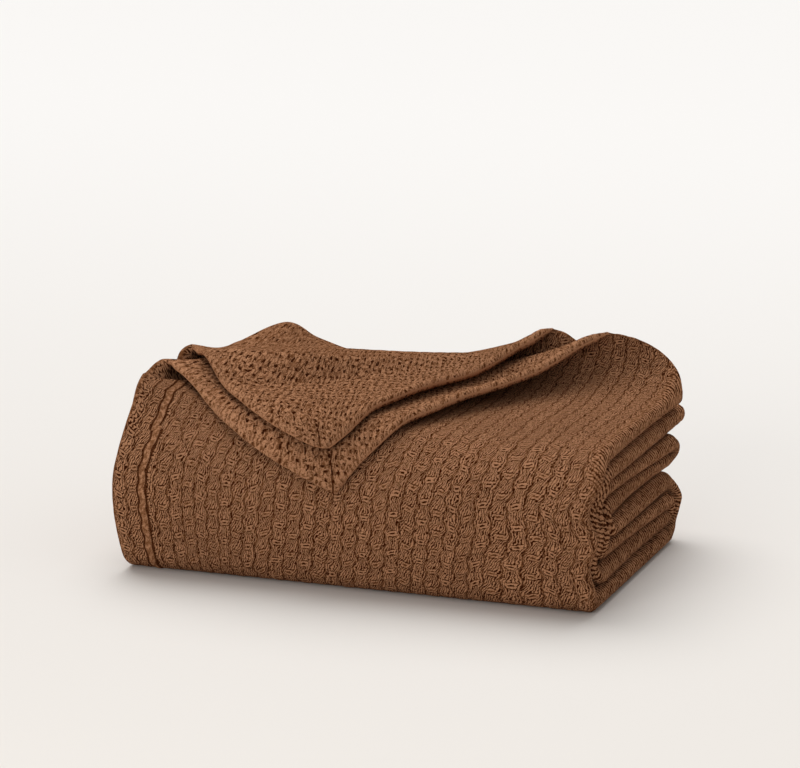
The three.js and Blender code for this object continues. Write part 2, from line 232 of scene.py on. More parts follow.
@dataclass
class FoldRoute:
    """The folded route of the band's middle, from the inner end to where the top level starts.

    Attributes:
        rows: y, z, heading and length so far of each row.
        zones: the zone of each row.
        loop_step: largest angle between two rows of a turn, in degrees.
        edge_steps: distances of the close rows beside a hem.
    """

    rows: list[tuple[float, float, float, float]] = field(default_factory=list)
    zones: list[Zone] = field(default_factory=list)
    loop_step: float = 9.0
    edge_steps: tuple[float, ...] = (0.5, 1.4, 2.8)

    def start(self, y: float, z: float) -> None:
        """Puts the first row at the inner end, heading to the front, with close rows at its hem.

        Args:
            y: place of the end.
            z: height of the end.
        """
        self.rows.append((y, z, math.pi, 0.0))
        self.zones.append(Zone.HIDDEN)
        for step in self.edge_steps:
            self.rows.append((y - step, z, math.pi, step))
            self.zones.append(Zone.HIDDEN)

    def run(self, zone: Zone, y: float | None = None, z: float | None = None) -> None:
        """Goes straight to a place.

        Args:
            zone: how closely the stretch is seen.
            y: place to reach, if it changes.
            z: height to reach, if it changes.
        """
        y0, z0, heading, length = self.rows[-1]
        y1 = y0 if y is None else y
        z1 = z0 if z is None else z
        reach = math.hypot(y1 - y0, z1 - z0)
        count = max(1, math.ceil(reach / zone.value))
        for k in range(1, count + 1):
            share = k / count
            self.rows.append((lerp(y0, y1, share), lerp(z0, z1, share), heading, length + reach * share))
            self.zones.append(zone)

    def turn(self, zone: Zone, degrees: float, radius: float) -> None:
        """Turns on an arc.

        Args:
            zone: how closely the stretch is seen.
            degrees: angle of the turn, positive to the left.
            radius: radius of the band's middle.
        """
        y, z, heading, length = self.rows[-1]
        side = math.copysign(1.0, degrees)
        reach = abs(math.radians(degrees)) * radius
        count = max(math.ceil(reach / zone.value), math.ceil(abs(degrees) / self.loop_step))
        step = math.radians(degrees) / count
        for _ in range(count):
            turned = heading + step
            y += side * radius * (math.sin(turned) - math.sin(heading))
            z -= side * radius * (math.cos(turned) - math.cos(heading))
            heading = turned
            length += reach / count
            self.rows.append((y, z, heading, length))
            self.zones.append(zone)

    def front_reach(self) -> Pair:
        """Lengths of the route between which it goes up the front."""
        lengths = [row[3] for row, zone in zip(self.rows, self.zones) if zone is Zone.FRONT]
        return lengths[0], lengths[-1]

    @classmethod
    def of_blanket(cls, sizes: FoldSizes) -> "FoldRoute":
        """The route through all the levels.

        Args:
            sizes: driving sizes of the fold.

        Returns:
            The finished route.
        """
        route = cls()
        tight, loop = sizes.tight_radius, sizes.back_loop_radius
        second_y = sizes.outer_wall_y + sizes.level_pitch
        third_y = second_y + sizes.level_pitch
        inner_y = third_y + sizes.level_pitch + tight
        top, bottom = sizes.second_radii
        hidden, back, front = Zone.HIDDEN, Zone.BACK, Zone.FRONT

        route.start(sizes.back_end_b, sizes.level("B"))
        route.run(hidden, y=second_y + top)
        route.turn(hidden, 90, top)
        route.run(hidden, z=sizes.level("G") + bottom)
        route.turn(hidden, 90, bottom)
        route.run(hidden, y=sizes.back_end_fg - tight)
        route.turn(hidden, 180, tight)

        top, bottom = sizes.third_radii
        route.run(hidden, y=third_y + bottom)
        route.turn(hidden, -90, bottom)
        route.run(hidden, z=sizes.level("C") - top)
        route.turn(hidden, -90, top)
        route.run(hidden, y=sizes.back_end_cd - tight)
        route.turn(back, -180, tight)

        route.run(hidden, y=inner_y)
        route.turn(hidden, 180, tight)
        route.run(hidden, y=sizes.back_end_eh - loop)
        route.turn(back, -90, loop)
        route.run(back, z=sizes.level("H") + loop)
        route.turn(back, -90, loop)

        top, bottom = sizes.outer_radii
        route.run(hidden, y=sizes.outer_wall_y + bottom)
        route.turn(front, -90, bottom)
        route.run(front, z=sizes.level("A") - top)
        route.turn(front, -90, top)
        return route


@dataclass(frozen=True)
class EdgeRow:
    """One place along the upper edge of a turned sheet.

    Attributes:
        across: place across the sheet, from its left hem.
        x, y, z: where the edge is there.
        bulge: how far the sheet bulges out behind it.
        foot: how far ahead of it the sheet starts to rise.
    """

    across: float
    x: float
    y: float
    z: float
    bulge: float
    foot: float


@dataclass(frozen=True)
class HemRow:
    """One place along the end hem of a turned corner.

    Attributes:
        share: share of the way from the corner to the hem's top.
        ahead: how far it lies ahead of the straight line between them.
        up: how far it stands off what is below it.
    """

    share: float
    ahead: float
    up: float


@dataclass(frozen=True)
class Crease:
    """A soft ridge across a turned corner.

    Attributes:
        line: plan places that it runs through, and its height at each.
        front: distance over which it falls to the front.
        back: distance over which it falls to the back.
    """

    line: tuple[tuple[float, float, float], ...]
    front: float
    back: float

    def height(self, x: Array, y: Array) -> Array:
        """How far it lifts the cloth.

        Args:
            x: plan places across.
            y: plan places to the back.

        Returns:
            The heights there.
        """
        keys, middle, top = (np.array(column) for column in zip(*self.line))
        ahead = smooth_at(keys, middle, x) - y
        away = np.where(ahead > 0.0, ahead / self.front, -ahead / self.back)
        return np.maximum(smooth_at(keys, top, x), 0.0) * (1.0 - smoothstep(away, 0.0, 1.0))


@dataclass(frozen=True)
class LeftArch:
    """How a sheet rises at its left hem, in an arch that fades into the loop beside it.

    Attributes:
        width: distance from the hem within which it fades.
        low: place behind the foot, and height over the lying sheet, that the foot of the arch heads for.
        high: place behind the foot, and height over the upper edge, that the top of the arch comes from.
    """

    width: float
    low: Pair
    high: Pair


@dataclass(frozen=True)
class TurnedSheet:
    """A sheet whose corner is turned over towards the front.

    Attributes:
        number: number of the sheet in the band.
        corner: plan place of the turned corner, where y runs on down the front rounding.
        edge: the upper edge from the left hem to the end hem.
        arch: how the sheet rises at its left hem.
        left_bow: how far the middle of its turned left hem lies ahead of a straight line.
        left_up: how far that hem stands up beside the arch.
        left_rise: shares of the hem's length between which it goes up there.
        left_down: shares of the hem's length between which it comes down again.
        hem: the end hem from the corner to its top.
        corner_radius: rounding of the corner.
        creases: soft ridges across it.
        descent: length over which the sheet comes down to lie flat right of the end hem's top, if any.
    """

    number: int
    corner: Pair
    edge: tuple[EdgeRow, ...]
    arch: LeftArch
    left_bow: float
    left_up: float
    left_rise: Pair
    left_down: Pair
    hem: tuple[HemRow, ...]
    corner_radius: float
    creases: tuple[Crease, ...] = ()
    descent: float | None = None

    @property
    def end_hem(self) -> EdgeRow:
        """The highest place of the end hem."""
        return self.edge[-1]

    def at(self, key: str, column: str, place: Array) -> Array:
        """Smooth value of one column of the edge at places along a key column."""
        keys = np.array([getattr(row, key) for row in self.edge])
        return smooth_at(keys, np.array([getattr(row, column) for row in self.edge]), place)

    def hem_at(self, column: str, share: Array) -> Array:
        """Smooth value of one column of the end hem at shares of its length."""
        keys = np.array([row.share for row in self.hem])
        return smooth_at(keys, np.array([getattr(row, column) for row in self.hem]), share)

    def edge_at(self, across: Array) -> dict[str, Array]:
        """All the columns of the edge at places across the sheet."""
        place = np.minimum(across, self.end_hem.across)
        return {name: self.at("across", name, place) for name in ("x", "y", "z", "bulge", "foot")}


LOWER = TurnedSheet(
    number=1,
    corner=(240.0, -25.0),
    edge=(
        EdgeRow(0, -10, 136, 190, 8, 62),
        EdgeRow(25, 18, 182, 181, 10, 48),
        EdgeRow(50, 48, 206, 178, 12, 50),
        EdgeRow(105, 108, 230, 176, 12, 52),
        EdgeRow(160, 166, 246, 176, 12, 55),
        EdgeRow(270, 274, 276, 177, 10, 65),
        EdgeRow(318, 320, 288, 180, 8, 72),
        EdgeRow(355, 356, 298, 190, 6, 78),
        EdgeRow(390, 390, 309, 202, 8, 86),
        EdgeRow(424, 424, 320, 214, 10, 95),
    ),
    arch=LeftArch(width=28.0, low=(14.0, 4.0), high=(36.0, 0.0)),
    left_bow=30.0,
    left_up=19.0,
    left_rise=(0.0, 0.08),
    left_down=(0.12, 0.42),
    hem=(
        HemRow(0.0, 0, 0),
        HemRow(0.1, 8, 0),
        HemRow(0.2, 16, 0),
        HemRow(0.32, 11, 3),
        HemRow(0.45, 0, 9),
        HemRow(0.6, 0, 13),
        HemRow(0.73, 0, 17),
        HemRow(0.86, 0, 10),
        HemRow(0.94, 0, 3),
        HemRow(1.0, 0, 0),
    ),
    corner_radius=6.0,
)
UPPER = TurnedSheet(
    number=2,
    corner=(220.0, 6.0),
    edge=(
        EdgeRow(0, -11, 213, 189, 8, 68),
        EdgeRow(25, 18, 234, 183, 12, 36),
        EdgeRow(70, 72, 278, 205, 16, 36),
        EdgeRow(102, 104, 290, 188, 16, 36),
        EdgeRow(150, 152, 303, 172, 14, 36),
        EdgeRow(240, 244, 318, 174, 12, 36),
        EdgeRow(310, 312, 328, 190, 8, 36),
        EdgeRow(335, 336, 332, 202, 6, 36),
        EdgeRow(360, 357, 336, 209, 4, 36),
    ),
    arch=LeftArch(width=15.0, low=(2.0, 26.0), high=(14.0, 12.0)),
    left_bow=52.0,
    left_up=18.5,
    left_rise=(0.07, 0.2),
    left_down=(0.22, 0.47),
    hem=(
        HemRow(0.0, 0, 0),
        HemRow(0.1, 22, 0),
        HemRow(0.2, 35, 0),
        HemRow(0.3, 18, 1),
        HemRow(0.42, 2, 3),
        HemRow(0.6, -4, 2),
        HemRow(0.78, 0, 5),
        HemRow(0.88, 0, 6),
        HemRow(1.0, 0, 0),
    ),
    corner_radius=24.0,
    creases=(
        Crease(
            line=(
                (22, 159, 0), (57, 137, 9), (79, 132, 16), (100, 133, 20), (120, 140, 22), (139, 149, 22),
                (152, 159, 21), (169, 173, 19), (186, 190, 15), (202, 207, 11), (218, 224, 7), (245, 245, 2),
                (265, 260, 0),
            ),
            front=46.0,
            back=10.0,
        ),
    ),
    descent=97.0,
)


@dataclass(frozen=True)
class TurnedForm:
    """How the two turned sheets rise, fall and lie on each other.

    Attributes:
        turn: angle of the turned edges to the back end.
        rest, upper_over_lower: height of the lower corner over its sheet, and of the upper corner over it.
        fall: length over which the lower corner comes down from its edge.
        hem_stand: share of its height at which the rise turns to its edge beside the end hem.
        stand_from: share of the way across from which it does so.
        hem_reach, hem_from: distance from the end hem, and share of the way down, where it stands off.
        left_fade, bow_end: powers with which the lift and the bow of the left hem fade.
    """

    turn: float = math.radians(22.0)
    rest: float = 10.5
    upper_over_lower: float = 10.5
    fall: float = 58.0
    hem_stand: float = 0.6
    stand_from: float = 0.86
    hem_reach: float = 50.0
    hem_from: float = 0.7
    left_fade: float = 4.0
    bow_end: float = 1.3

    def lower_height(self, x: Array, y: Array) -> Array:
        """Height of the lower turned sheet.

        Args:
            x: plan places across.
            y: plan places to the back.

        Returns:
            The heights over the band's middle.
        """
        rest = SIZES.offset(LOWER.number) + self.rest
        top = LOWER.at("x", "z", x) - SIZES.level("A")
        past = (LOWER.at("x", "y", x) - y) * math.cos(self.turn)
        return lerp(top, rest, smoothstep(past, 0.0, self.fall + top - rest))

    def upper_height(self, x: Array, y: Array, edge: dict[str, Array]) -> Array:
        """Height of the upper turned sheet, which lies on the lower one and rises to its own edge.

        Args:
            x: plan places across.
            y: plan places to the back.
            edge: the upper edge of each place's own column.

        Returns:
            The heights over the band's middle.
        """
        over_edge = self.lower_height(edge["x"], edge["y"]) + self.upper_over_lower
        hump = edge["z"] - SIZES.level("A") - over_edge
        gap = y - LOWER.at("x", "y", x)
        edge_gap = edge["y"] - LOWER.at("x", "y", edge["x"])
        return self.lower_height(x, y) + self.upper_over_lower + hump * smoothstep(gap, 0.0, edge_gap)

    def drape(self, x: Array, y: Array, height: Array) -> Array:
        """Points above the top level. Past its front they follow the rounding and then the front wall.

        Args:
            x: plan places across.
            y: plan places to the back, where the front is rolled out flat.
            height: heights over the band's middle.

        Returns:
            The points.
        """
        radius = SIZES.outer_radii[0]
        outside = radius + SIZES.offset(LOWER.number)
        angle = np.maximum((SIZES.top_start - y) / outside, 0.0)
        bend = np.minimum(angle, math.pi / 2)
        down = (angle - bend) * outside
        front = SIZES.top_start - (radius + height) * np.sin(bend)
        level = SIZES.level("A") - radius + (radius + height) * np.cos(bend) - down
        return np.stack([x, np.where(angle > 0, front, y), level], axis=-1)

    def corner_points(self, flap: TurnedSheet, across: Array, way: Array) -> Array:
        """Points of a turned corner, from its upper edge to its end hem.

        Args:
            flap: the turned sheet.
            across: places across it, from its left hem.
            way: shares of the way from the upper edge to the end hem.

        Returns:
            The points.
        """
        across, way = np.broadcast_arrays(across, way)
        share = across / flap.end_hem.across
        edge = flap.edge_at(across)
        end_x = lerp(flap.corner[0], flap.end_hem.x, share)
        end_y = lerp(flap.corner[1], flap.end_hem.y, share) - flap.hem_at("ahead", share)
        x = lerp(edge["x"], end_x, way)
        bow = flap.left_bow * way * (1.0 - way) ** self.bow_end * 2.0 ** (1.0 + self.bow_end)
        y = lerp(edge["y"], end_y, way) - bow * (1.0 - share) ** 2
        height = self.lower_height(x, y) if flap is LOWER else self.upper_height(x, y, edge)
        to_hem = (1.0 - way) * np.hypot(edge["x"] - end_x, edge["y"] - end_y)
        near_hem = (1.0 - smoothstep(to_hem, 0.0, self.hem_reach)) * smoothstep(way, 0.0, self.hem_from)
        lifted = flap.hem_at("up", share) * near_hem
        beside = smoothstep(way, *flap.left_rise) * (1.0 - smoothstep(way, *flap.left_down))
        lifted = lifted + flap.left_up * beside * (1.0 - share) ** self.left_fade
        for crease in flap.creases:
            lifted = lifted + crease.height(x, y)
        return self.drape(x, y, height + lifted)


FORM = TurnedForm()


@dataclass(frozen=True)
class LeftLift:
    """How the lower turned sheet stands off the pile along its left hem, like a lip.

    Attributes:
        height: how far up the hem goes.
        out: how far out to the left it goes.
        width: distance from the hem within which this fades.
        ahead: distance along the cloth before the top level where it starts.
        behind: distance after the start of the top level where it is full.
    """

    height: float = 31.0
    out: float = 9.0
    width: float = 15.0
    ahead: float = 82.0
    behind: float = 20.0

    def move(self, across: Array, ahead: Array) -> Array:
        """Way that the cloth moves.

        Args:
            across: places across the sheet, from its left hem.
            ahead: distances along the cloth before the start of the top level.

        Returns:
            The moves in x, y and z.
        """
        near_hem = 1.0 - smoothstep(across, 0.0, self.width)
        share = near_hem * (1.0 - smoothstep(ahead, -self.behind, self.ahead))
        return share[..., None] * np.array([-self.out, 0.0, self.height])


LEFT_LIFT = LeftLift()


@dataclass
class Places:
    """Places across the band.

    Attributes:
        x: place across the fold.
        offset: distance from the band's middle.
        part: number of the part of the band.
        across: distance from the nearer side hem, along the cloth.
        order: distance from the first side hem, along the cloth.
        CLOSEST: share of the spacing that two places keep from each other.
        HEM_CLEAR: distance past the close places at a hem that stays free of others.
    """

    CLOSEST: ClassVar[float] = 0.3
    HEM_CLEAR: ClassVar[float] = 0.5

    x: Array
    offset: Array
    part: Array
    across: Array
    order: Array

    @classmethod
    def of_band(cls, spacing: dict[Part, float], fold_steps: tuple[int, int]) -> "Places":
        """Places across the whole band, close where a part has a spacing and few elsewhere.

        Args:
            spacing: spacing on the parts that show.
            fold_steps: steps round the inner folds and round the outer right fold.

        Returns:
            The places in the order of the unfolded cloth.
        """
        small, large = SIZES.small_radius, SIZES.large_radius
        found: list[tuple[Array, Array, Part]] = []

        def sheet(number: int, part: Part, right: float, towards_right: bool) -> None:
            """Adds the places across one sheet.

            Args:
                number: number of the sheet in the band.
                part: which part of the band it is.
                right: where it ends at the right.
                towards_right: whether the unfolded cloth runs to the right there.
            """
            hemmed = number in (LOWER.number, UPPER.number)
            stations = SIZES.stations(right)
            if hemmed:
                stations[0] = 0.0
            if part in spacing:
                count = round((right - stations[0]) / spacing[part])
                stations = np.union1d(np.linspace(stations[0], right, count + 1), stations[1:-1])
                keep = np.append(np.diff(stations) > spacing[part] * cls.CLOSEST, True)
                stations = stations[keep]
            if hemmed:
                edge = np.array(FoldRoute.edge_steps)
                clear = (stations <= 0) | (stations > edge[-1] + cls.HEM_CLEAR)
                stations = np.union1d(stations[clear], edge)
            x = stations if towards_right else stations[::-1]
            found.append((x, np.full(len(x), SIZES.offset(number)), part))

        def fold(part: Part, start: Pair, radius: float, side: int, down: int) -> None:
            """Adds the places round one fold.

            Args:
                part: which part of the band it is.
                start: x and offset of its middle.
                radius: its radius.
                side: 1 if it bulges to the right, -1 to the left.
                down: 1 if the unfolded cloth runs down there, -1 up.
            """
            steps = fold_steps[1] if part is Part.RIGHT_FOLD else fold_steps[0]
            angle = math.pi * np.arange(1, steps) / steps
            x = start[0] + side * radius * np.sin(angle)
            found.append((x, start[1] + down * radius * np.cos(angle), part))

        sheet(2, Part.SHEET_2, SIZES.inner_flat_right, True)
        fold(Part.INNER_RIGHT_FOLD, (SIZES.inner_flat_right, 0.0), small, 1, 1)
        sheet(3, Part.SHEET_3, SIZES.inner_flat_right, False)
        fold(Part.LEFT_FOLD, (SIZES.left_fold_x, -SIZES.sheet_pitch), small, -1, 1)
        sheet(4, Part.SHEET_4, SIZES.flat_right, True)
        fold(Part.RIGHT_FOLD, (SIZES.flat_right, 0.0), large, 1, -1)
        sheet(1, Part.SHEET_1, SIZES.flat_right, False)

        x = np.concatenate([row[0] for row in found])
        offset = np.concatenate([row[1] for row in found])
        part = np.concatenate([np.full(len(row[0]), row[2].value) for row in found])
        step = np.hypot(np.diff(x), np.diff(offset))
        order = np.concatenate([[0.0], np.cumsum(step)])
        return cls(x, offset, part, np.minimum(order, order[-1] - order), order)


@dataclass
class Patch:
    """Points of the cloth's middle with what goes with each of them.

    Attributes:
        point: places of the middle of the cloth.
        weave: place along the cloth, across and along its length, as it lies in the band.
        turned: place on a turned corner, from the end hem and from the left hem.
        hem: distance from the nearest hem.
        show: how much of the weave's relief the point has.
        extra: how much thicker each side of the cloth is in a hem.
    """

    point: Array
    weave: Array
    turned: Array
    hem: Array
    show: Array
    extra: Array

    def flat(self) -> "Patch":
        """The same points in one row."""
        return Patch(self.point.reshape(-1, 3), self.weave.reshape(-1, 2), self.turned.reshape(-1, 2),
                     self.hem.ravel(), self.show.ravel(), self.extra.ravel())


class Border(Enum):
    """The four edges of the cloth: the left hems of its two upper sheets, and the two ends of its length."""

    UPPER_LEFT = "left hem of the upper sheet"
    LOWER_LEFT = "left hem of the lower sheet"
    INNER_END = "end inside the fold"
    OUTER_END = "end with the turned corners"


@dataclass
class Strip:
    """Numbers of the points along one line of a mesh, with their places along it."""

    index: Array
    place: Array

    def lengthen(self, index: Array, step: Array) -> None:
        """Adds points after the last one, each at a step past its place."""
        self.place = np.append(self.place, self.place[-1] + step)
        self.index = np.append(self.index, index)


class ClothMesh:
    """One side of the cloth as it is put together from patches."""

    def __init__(self, first: int) -> None:
        """Starts an empty side.

        Args:
            first: number of its first point.
        """
        self.first = first
        self.count = first
        self.patches: list[Patch] = []
        self.triangles: list[Array] = []
        self.on_turned: list[Array] = []

    def add(self, patch: Patch) -> Array:
        """Takes in a patch.

        Args:
            patch: the points to take in.

        Returns:
            Their numbers, in the patch's own shape.
        """
        shape = patch.hem.shape
        self.patches.append(patch.flat())
        numbers = np.arange(self.count, self.count + patch.hem.size).reshape(shape)
        self.count += patch.hem.size
        return numbers

    def take(self, triangles: Array, turned: bool) -> None:
        """Takes in triangles, marked by whether they are on a turned corner."""
        self.triangles.append(triangles)
        self.on_turned.append(np.full(len(triangles), turned))

    def grid(self, numbers: Array) -> None:
        """Fills a grid.

        Args:
            numbers: numbers of its points, a row for each place along the cloth.
        """
        a, b = numbers[:-1, :-1].ravel(), numbers[:-1, 1:].ravel()
        c, d = numbers[1:, 1:].ravel(), numbers[1:, :-1].ravel()
        self.take(np.concatenate([np.stack([a, b, c], 1), np.stack([a, c, d], 1)]), False)

    def zip(self, here: Strip, beyond: Strip, turned: bool = False, flip: bool = False) -> None:
        """Fills the strip between two lines with different points.

        Args:
            here: the first line.
            beyond: the line after it.
            turned: whether the strip is on a turned corner.
            flip: whether the second line lies on the other hand.
        """
        made = []
        a = b = 0
        last_a, last_b = len(here.index) - 1, len(beyond.index) - 1
        while a < last_a or b < last_b:
            step_b = a == last_a or (b < last_b and beyond.place[b + 1] <= here.place[a + 1])
            new = beyond.index[b + 1] if step_b else here.index[a + 1]
            made.append((here.index[a], new, beyond.index[b]))
            if step_b:
                b += 1
            else:
                a += 1
        triangles = np.array(made, dtype=int).reshape(-1, 3)
        self.take(triangles[:, ::-1] if flip else triangles, turned)


@dataclass(frozen=True)
class Weave:
    """Sizes of the weave and of the hem.

    Attributes:
        rib: pitch of the ribs across the cloth.
        block: pitch of the stitch blocks along a rib.
        groove: depth of the grooves between the ribs.
        swell: how far the blocks stand above the bars between them.
        hem_width: width of the turned hem.
        hem_extra: how much thicker each side of the hem is.
        roll_extra: how much thicker still it is along the end hem.
        roll_reach: distances from the end hem between which that fades.
        roll_fade: distance from a turned edge within which the hem thins to the plain cloth.
        ridge: height of the sewn ridge along the left hem.
        ridge_half: half its width.
        ridge_slope: shares of that half width between which it falls to the cloth.
        hem_fade: distances from the width of the hem between which it thins to the plain cloth.
        stagger: how far the blocks of every second rib lie past their neighbours'.
        rib_round: power of the rounding of a rib.
        block_crown: where a block is highest along a stitch.
        turned_from: number that the ribs of the turned corners start from, to tell them apart.
        turned_show: how much of the relief shows on the turned corners.
        crest_fade: distance from a turned edge within which the relief fades.
        lean: how far the ribs lean to the left on their way down the front, for each millimetre.
        lean_from: distances from the left hem between which they start to lean.
        lean_to: distances from the left hem between which they stop.
        lean_depth: length of the front, down which they lean. They come back under the pile.
        wander: how far the ribs wander to either side.
        wander_length: length of one wander along the cloth.
        wander_bend: how far neighbouring ribs wander out of step, and the turns of this for each rib.
        push: how far the stitches push the ribs beside them.
        drift: how far the blocks drift along their ribs, and the turns of this for each rib and each block.
    """

    rib: float = 15.3
    block: float = 20.5
    groove: float = 0.8
    swell: float = 0.35
    hem_width: float = 33.0
    hem_extra: float = 0.9
    roll_extra: float = 2.0
    roll_reach: Pair = (5.0, 16.0)
    roll_fade: float = 16.0
    ridge: float = 1.4
    ridge_half: float = 3.9
    ridge_slope: Pair = (0.3, 1.4)
    hem_fade: Pair = (-4.0, 3.0)
    stagger: float = 0.5
    rib_round: int = 3
    block_crown: float = 0.3
    turned_from: float = 100.0
    turned_show: float = 0.45
    crest_fade: float = 7.0
    lean: float = 0.12
    lean_from: Pair = (50.0, 150.0)
    lean_to: Pair = (380.0, 480.0)
    lean_depth: float = 200.0
    wander: float = 0.07
    wander_length: float = 127.0
    wander_bend: Pair = (0.9, 0.41)
    push: float = 0.09
    drift: tuple[tuple[float, float, float], ...] = ((0.18, 0.83, 0.0), (0.1, 2.1, 0.31))

    def place(self, across: Array, along: Array) -> Array:
        """Place in the weave, in ribs across and blocks along, with the ribs wandering a little.

        Args:
            across: distance across the cloth.
            along: distance along the cloth.

        Returns:
            The two places, side by side.
        """
        ribs, blocks = across / self.rib, along / self.block
        phase = 2 * math.pi * along / self.wander_length
        bend, bend_turns = self.wander_bend
        slow = self.wander * np.sin(phase + bend * np.sin(bend_turns * ribs))
        push = self.push * np.cos(math.pi * ribs) * np.cos(2 * math.pi * blocks)
        late = sum(far * np.sin(by_rib * ribs + by_block * blocks) for far, by_rib, by_block in self.drift)
        return np.stack([ribs + slow + push, blocks + late], axis=-1)

    def relief(self, place: Array) -> Array:
        """Height of the weave, from 0 on the highest stitches down to the grooves.

        Args:
            place: places in the weave.

        Returns:
            The heights in millimetres.
        """
        column = np.floor(place[..., 0])
        over = place[..., 0] - column
        stitch = place[..., 1] + self.stagger * (column % 2)
        rib = 1.0 - np.abs(2.0 * over - 1.0) ** self.rib_round
        block = 0.5 + 0.5 * np.cos(2.0 * math.pi * (stitch - self.block_crown))
        return self.groove * (rib - 1.0) + self.swell * rib * (block - 1.0)

    def leaned(self, across: Array, below: Array) -> Array:
        """Distance across the cloth at which its ribs seem to lie.

        Args:
            across: true distances across it.
            below: distances below the top of the front.

        Returns:
            The distances to use for the ribs.
        """
        amount = smoothstep(across, *self.lean_from) * (1.0 - smoothstep(across, *self.lean_to))
        back = 1.0 - smoothstep(below, self.lean_depth, 2.0 * self.lean_depth)
        return across + self.lean * amount * np.clip(below, 0.0, self.lean_depth) * back

    def ridge_at(self, across: Array) -> Array:
        """Height of the sewn ridge at distances from the side hem."""
        away = np.abs(across - self.hem_width) / self.ridge_half
        return self.ridge * (1.0 - smoothstep(away, *self.ridge_slope))


WEAVE = Weave()


@dataclass(frozen=True)
class Softness:
    """Softness of the pile: how far its faces swell and how its right end tilts and varies.

    Attributes:
        front_out: how far the front swells.
        front_depth: how far behind the front this fades.
        left_out: how far the left end swells.
        tilt: how far the right end rises at the front and sinks at the back.
        wave: how far the layers at the right end lie in and out.
        wave_height: height of one such wave.
        pull: how far the right end is drawn in behind the front.
        pull_depth: how fast this changes to the back.
    """

    front_out: float = 13.0
    front_depth: float = 130.0
    left_out: float = 8.0
    tilt: float = 1.5
    wave: float = 5.0
    wave_height: float = 62.0
    pull: float = 4.0
    pull_depth: float = 95.0

    def apply(self, point: Array) -> Array:
        """Moves points of the plain fold to where they lie in the soft pile.

        Args:
            point: places in the plain fold.

        Returns:
            The places in the pile.
        """
        x, y, z = point[..., 0], point[..., 1], point[..., 2]
        stations = SIZES.stations(SIZES.flat_right)
        belly = np.sin(math.pi * np.clip((z - SIZES.thickness) / SIZES.stack_top, 0.0, 1.0))
        near_front = 1.0 - smoothstep(y, -self.front_out, self.front_depth)
        near_left = np.maximum(0.0, 1.0 - x / stations[1])
        near_right = np.maximum(0.0, (x - stations[2]) / (SIZES.folded_width - stations[2]))
        tilt = np.cos(math.pi * y / SIZES.back_end_a)
        wave = np.sin(2.0 * math.pi * z / self.wave_height + y / self.pull_depth)
        uneven = self.wave * wave - self.pull * np.sin(y / self.pull_depth)
        return np.stack([
            x + (near_right * uneven - near_left * self.left_out) * belly,
            y - self.front_out * belly * near_front,
            z + near_right * self.tilt * tilt * belly,
        ], axis=-1)


SOFTNESS = Softness()


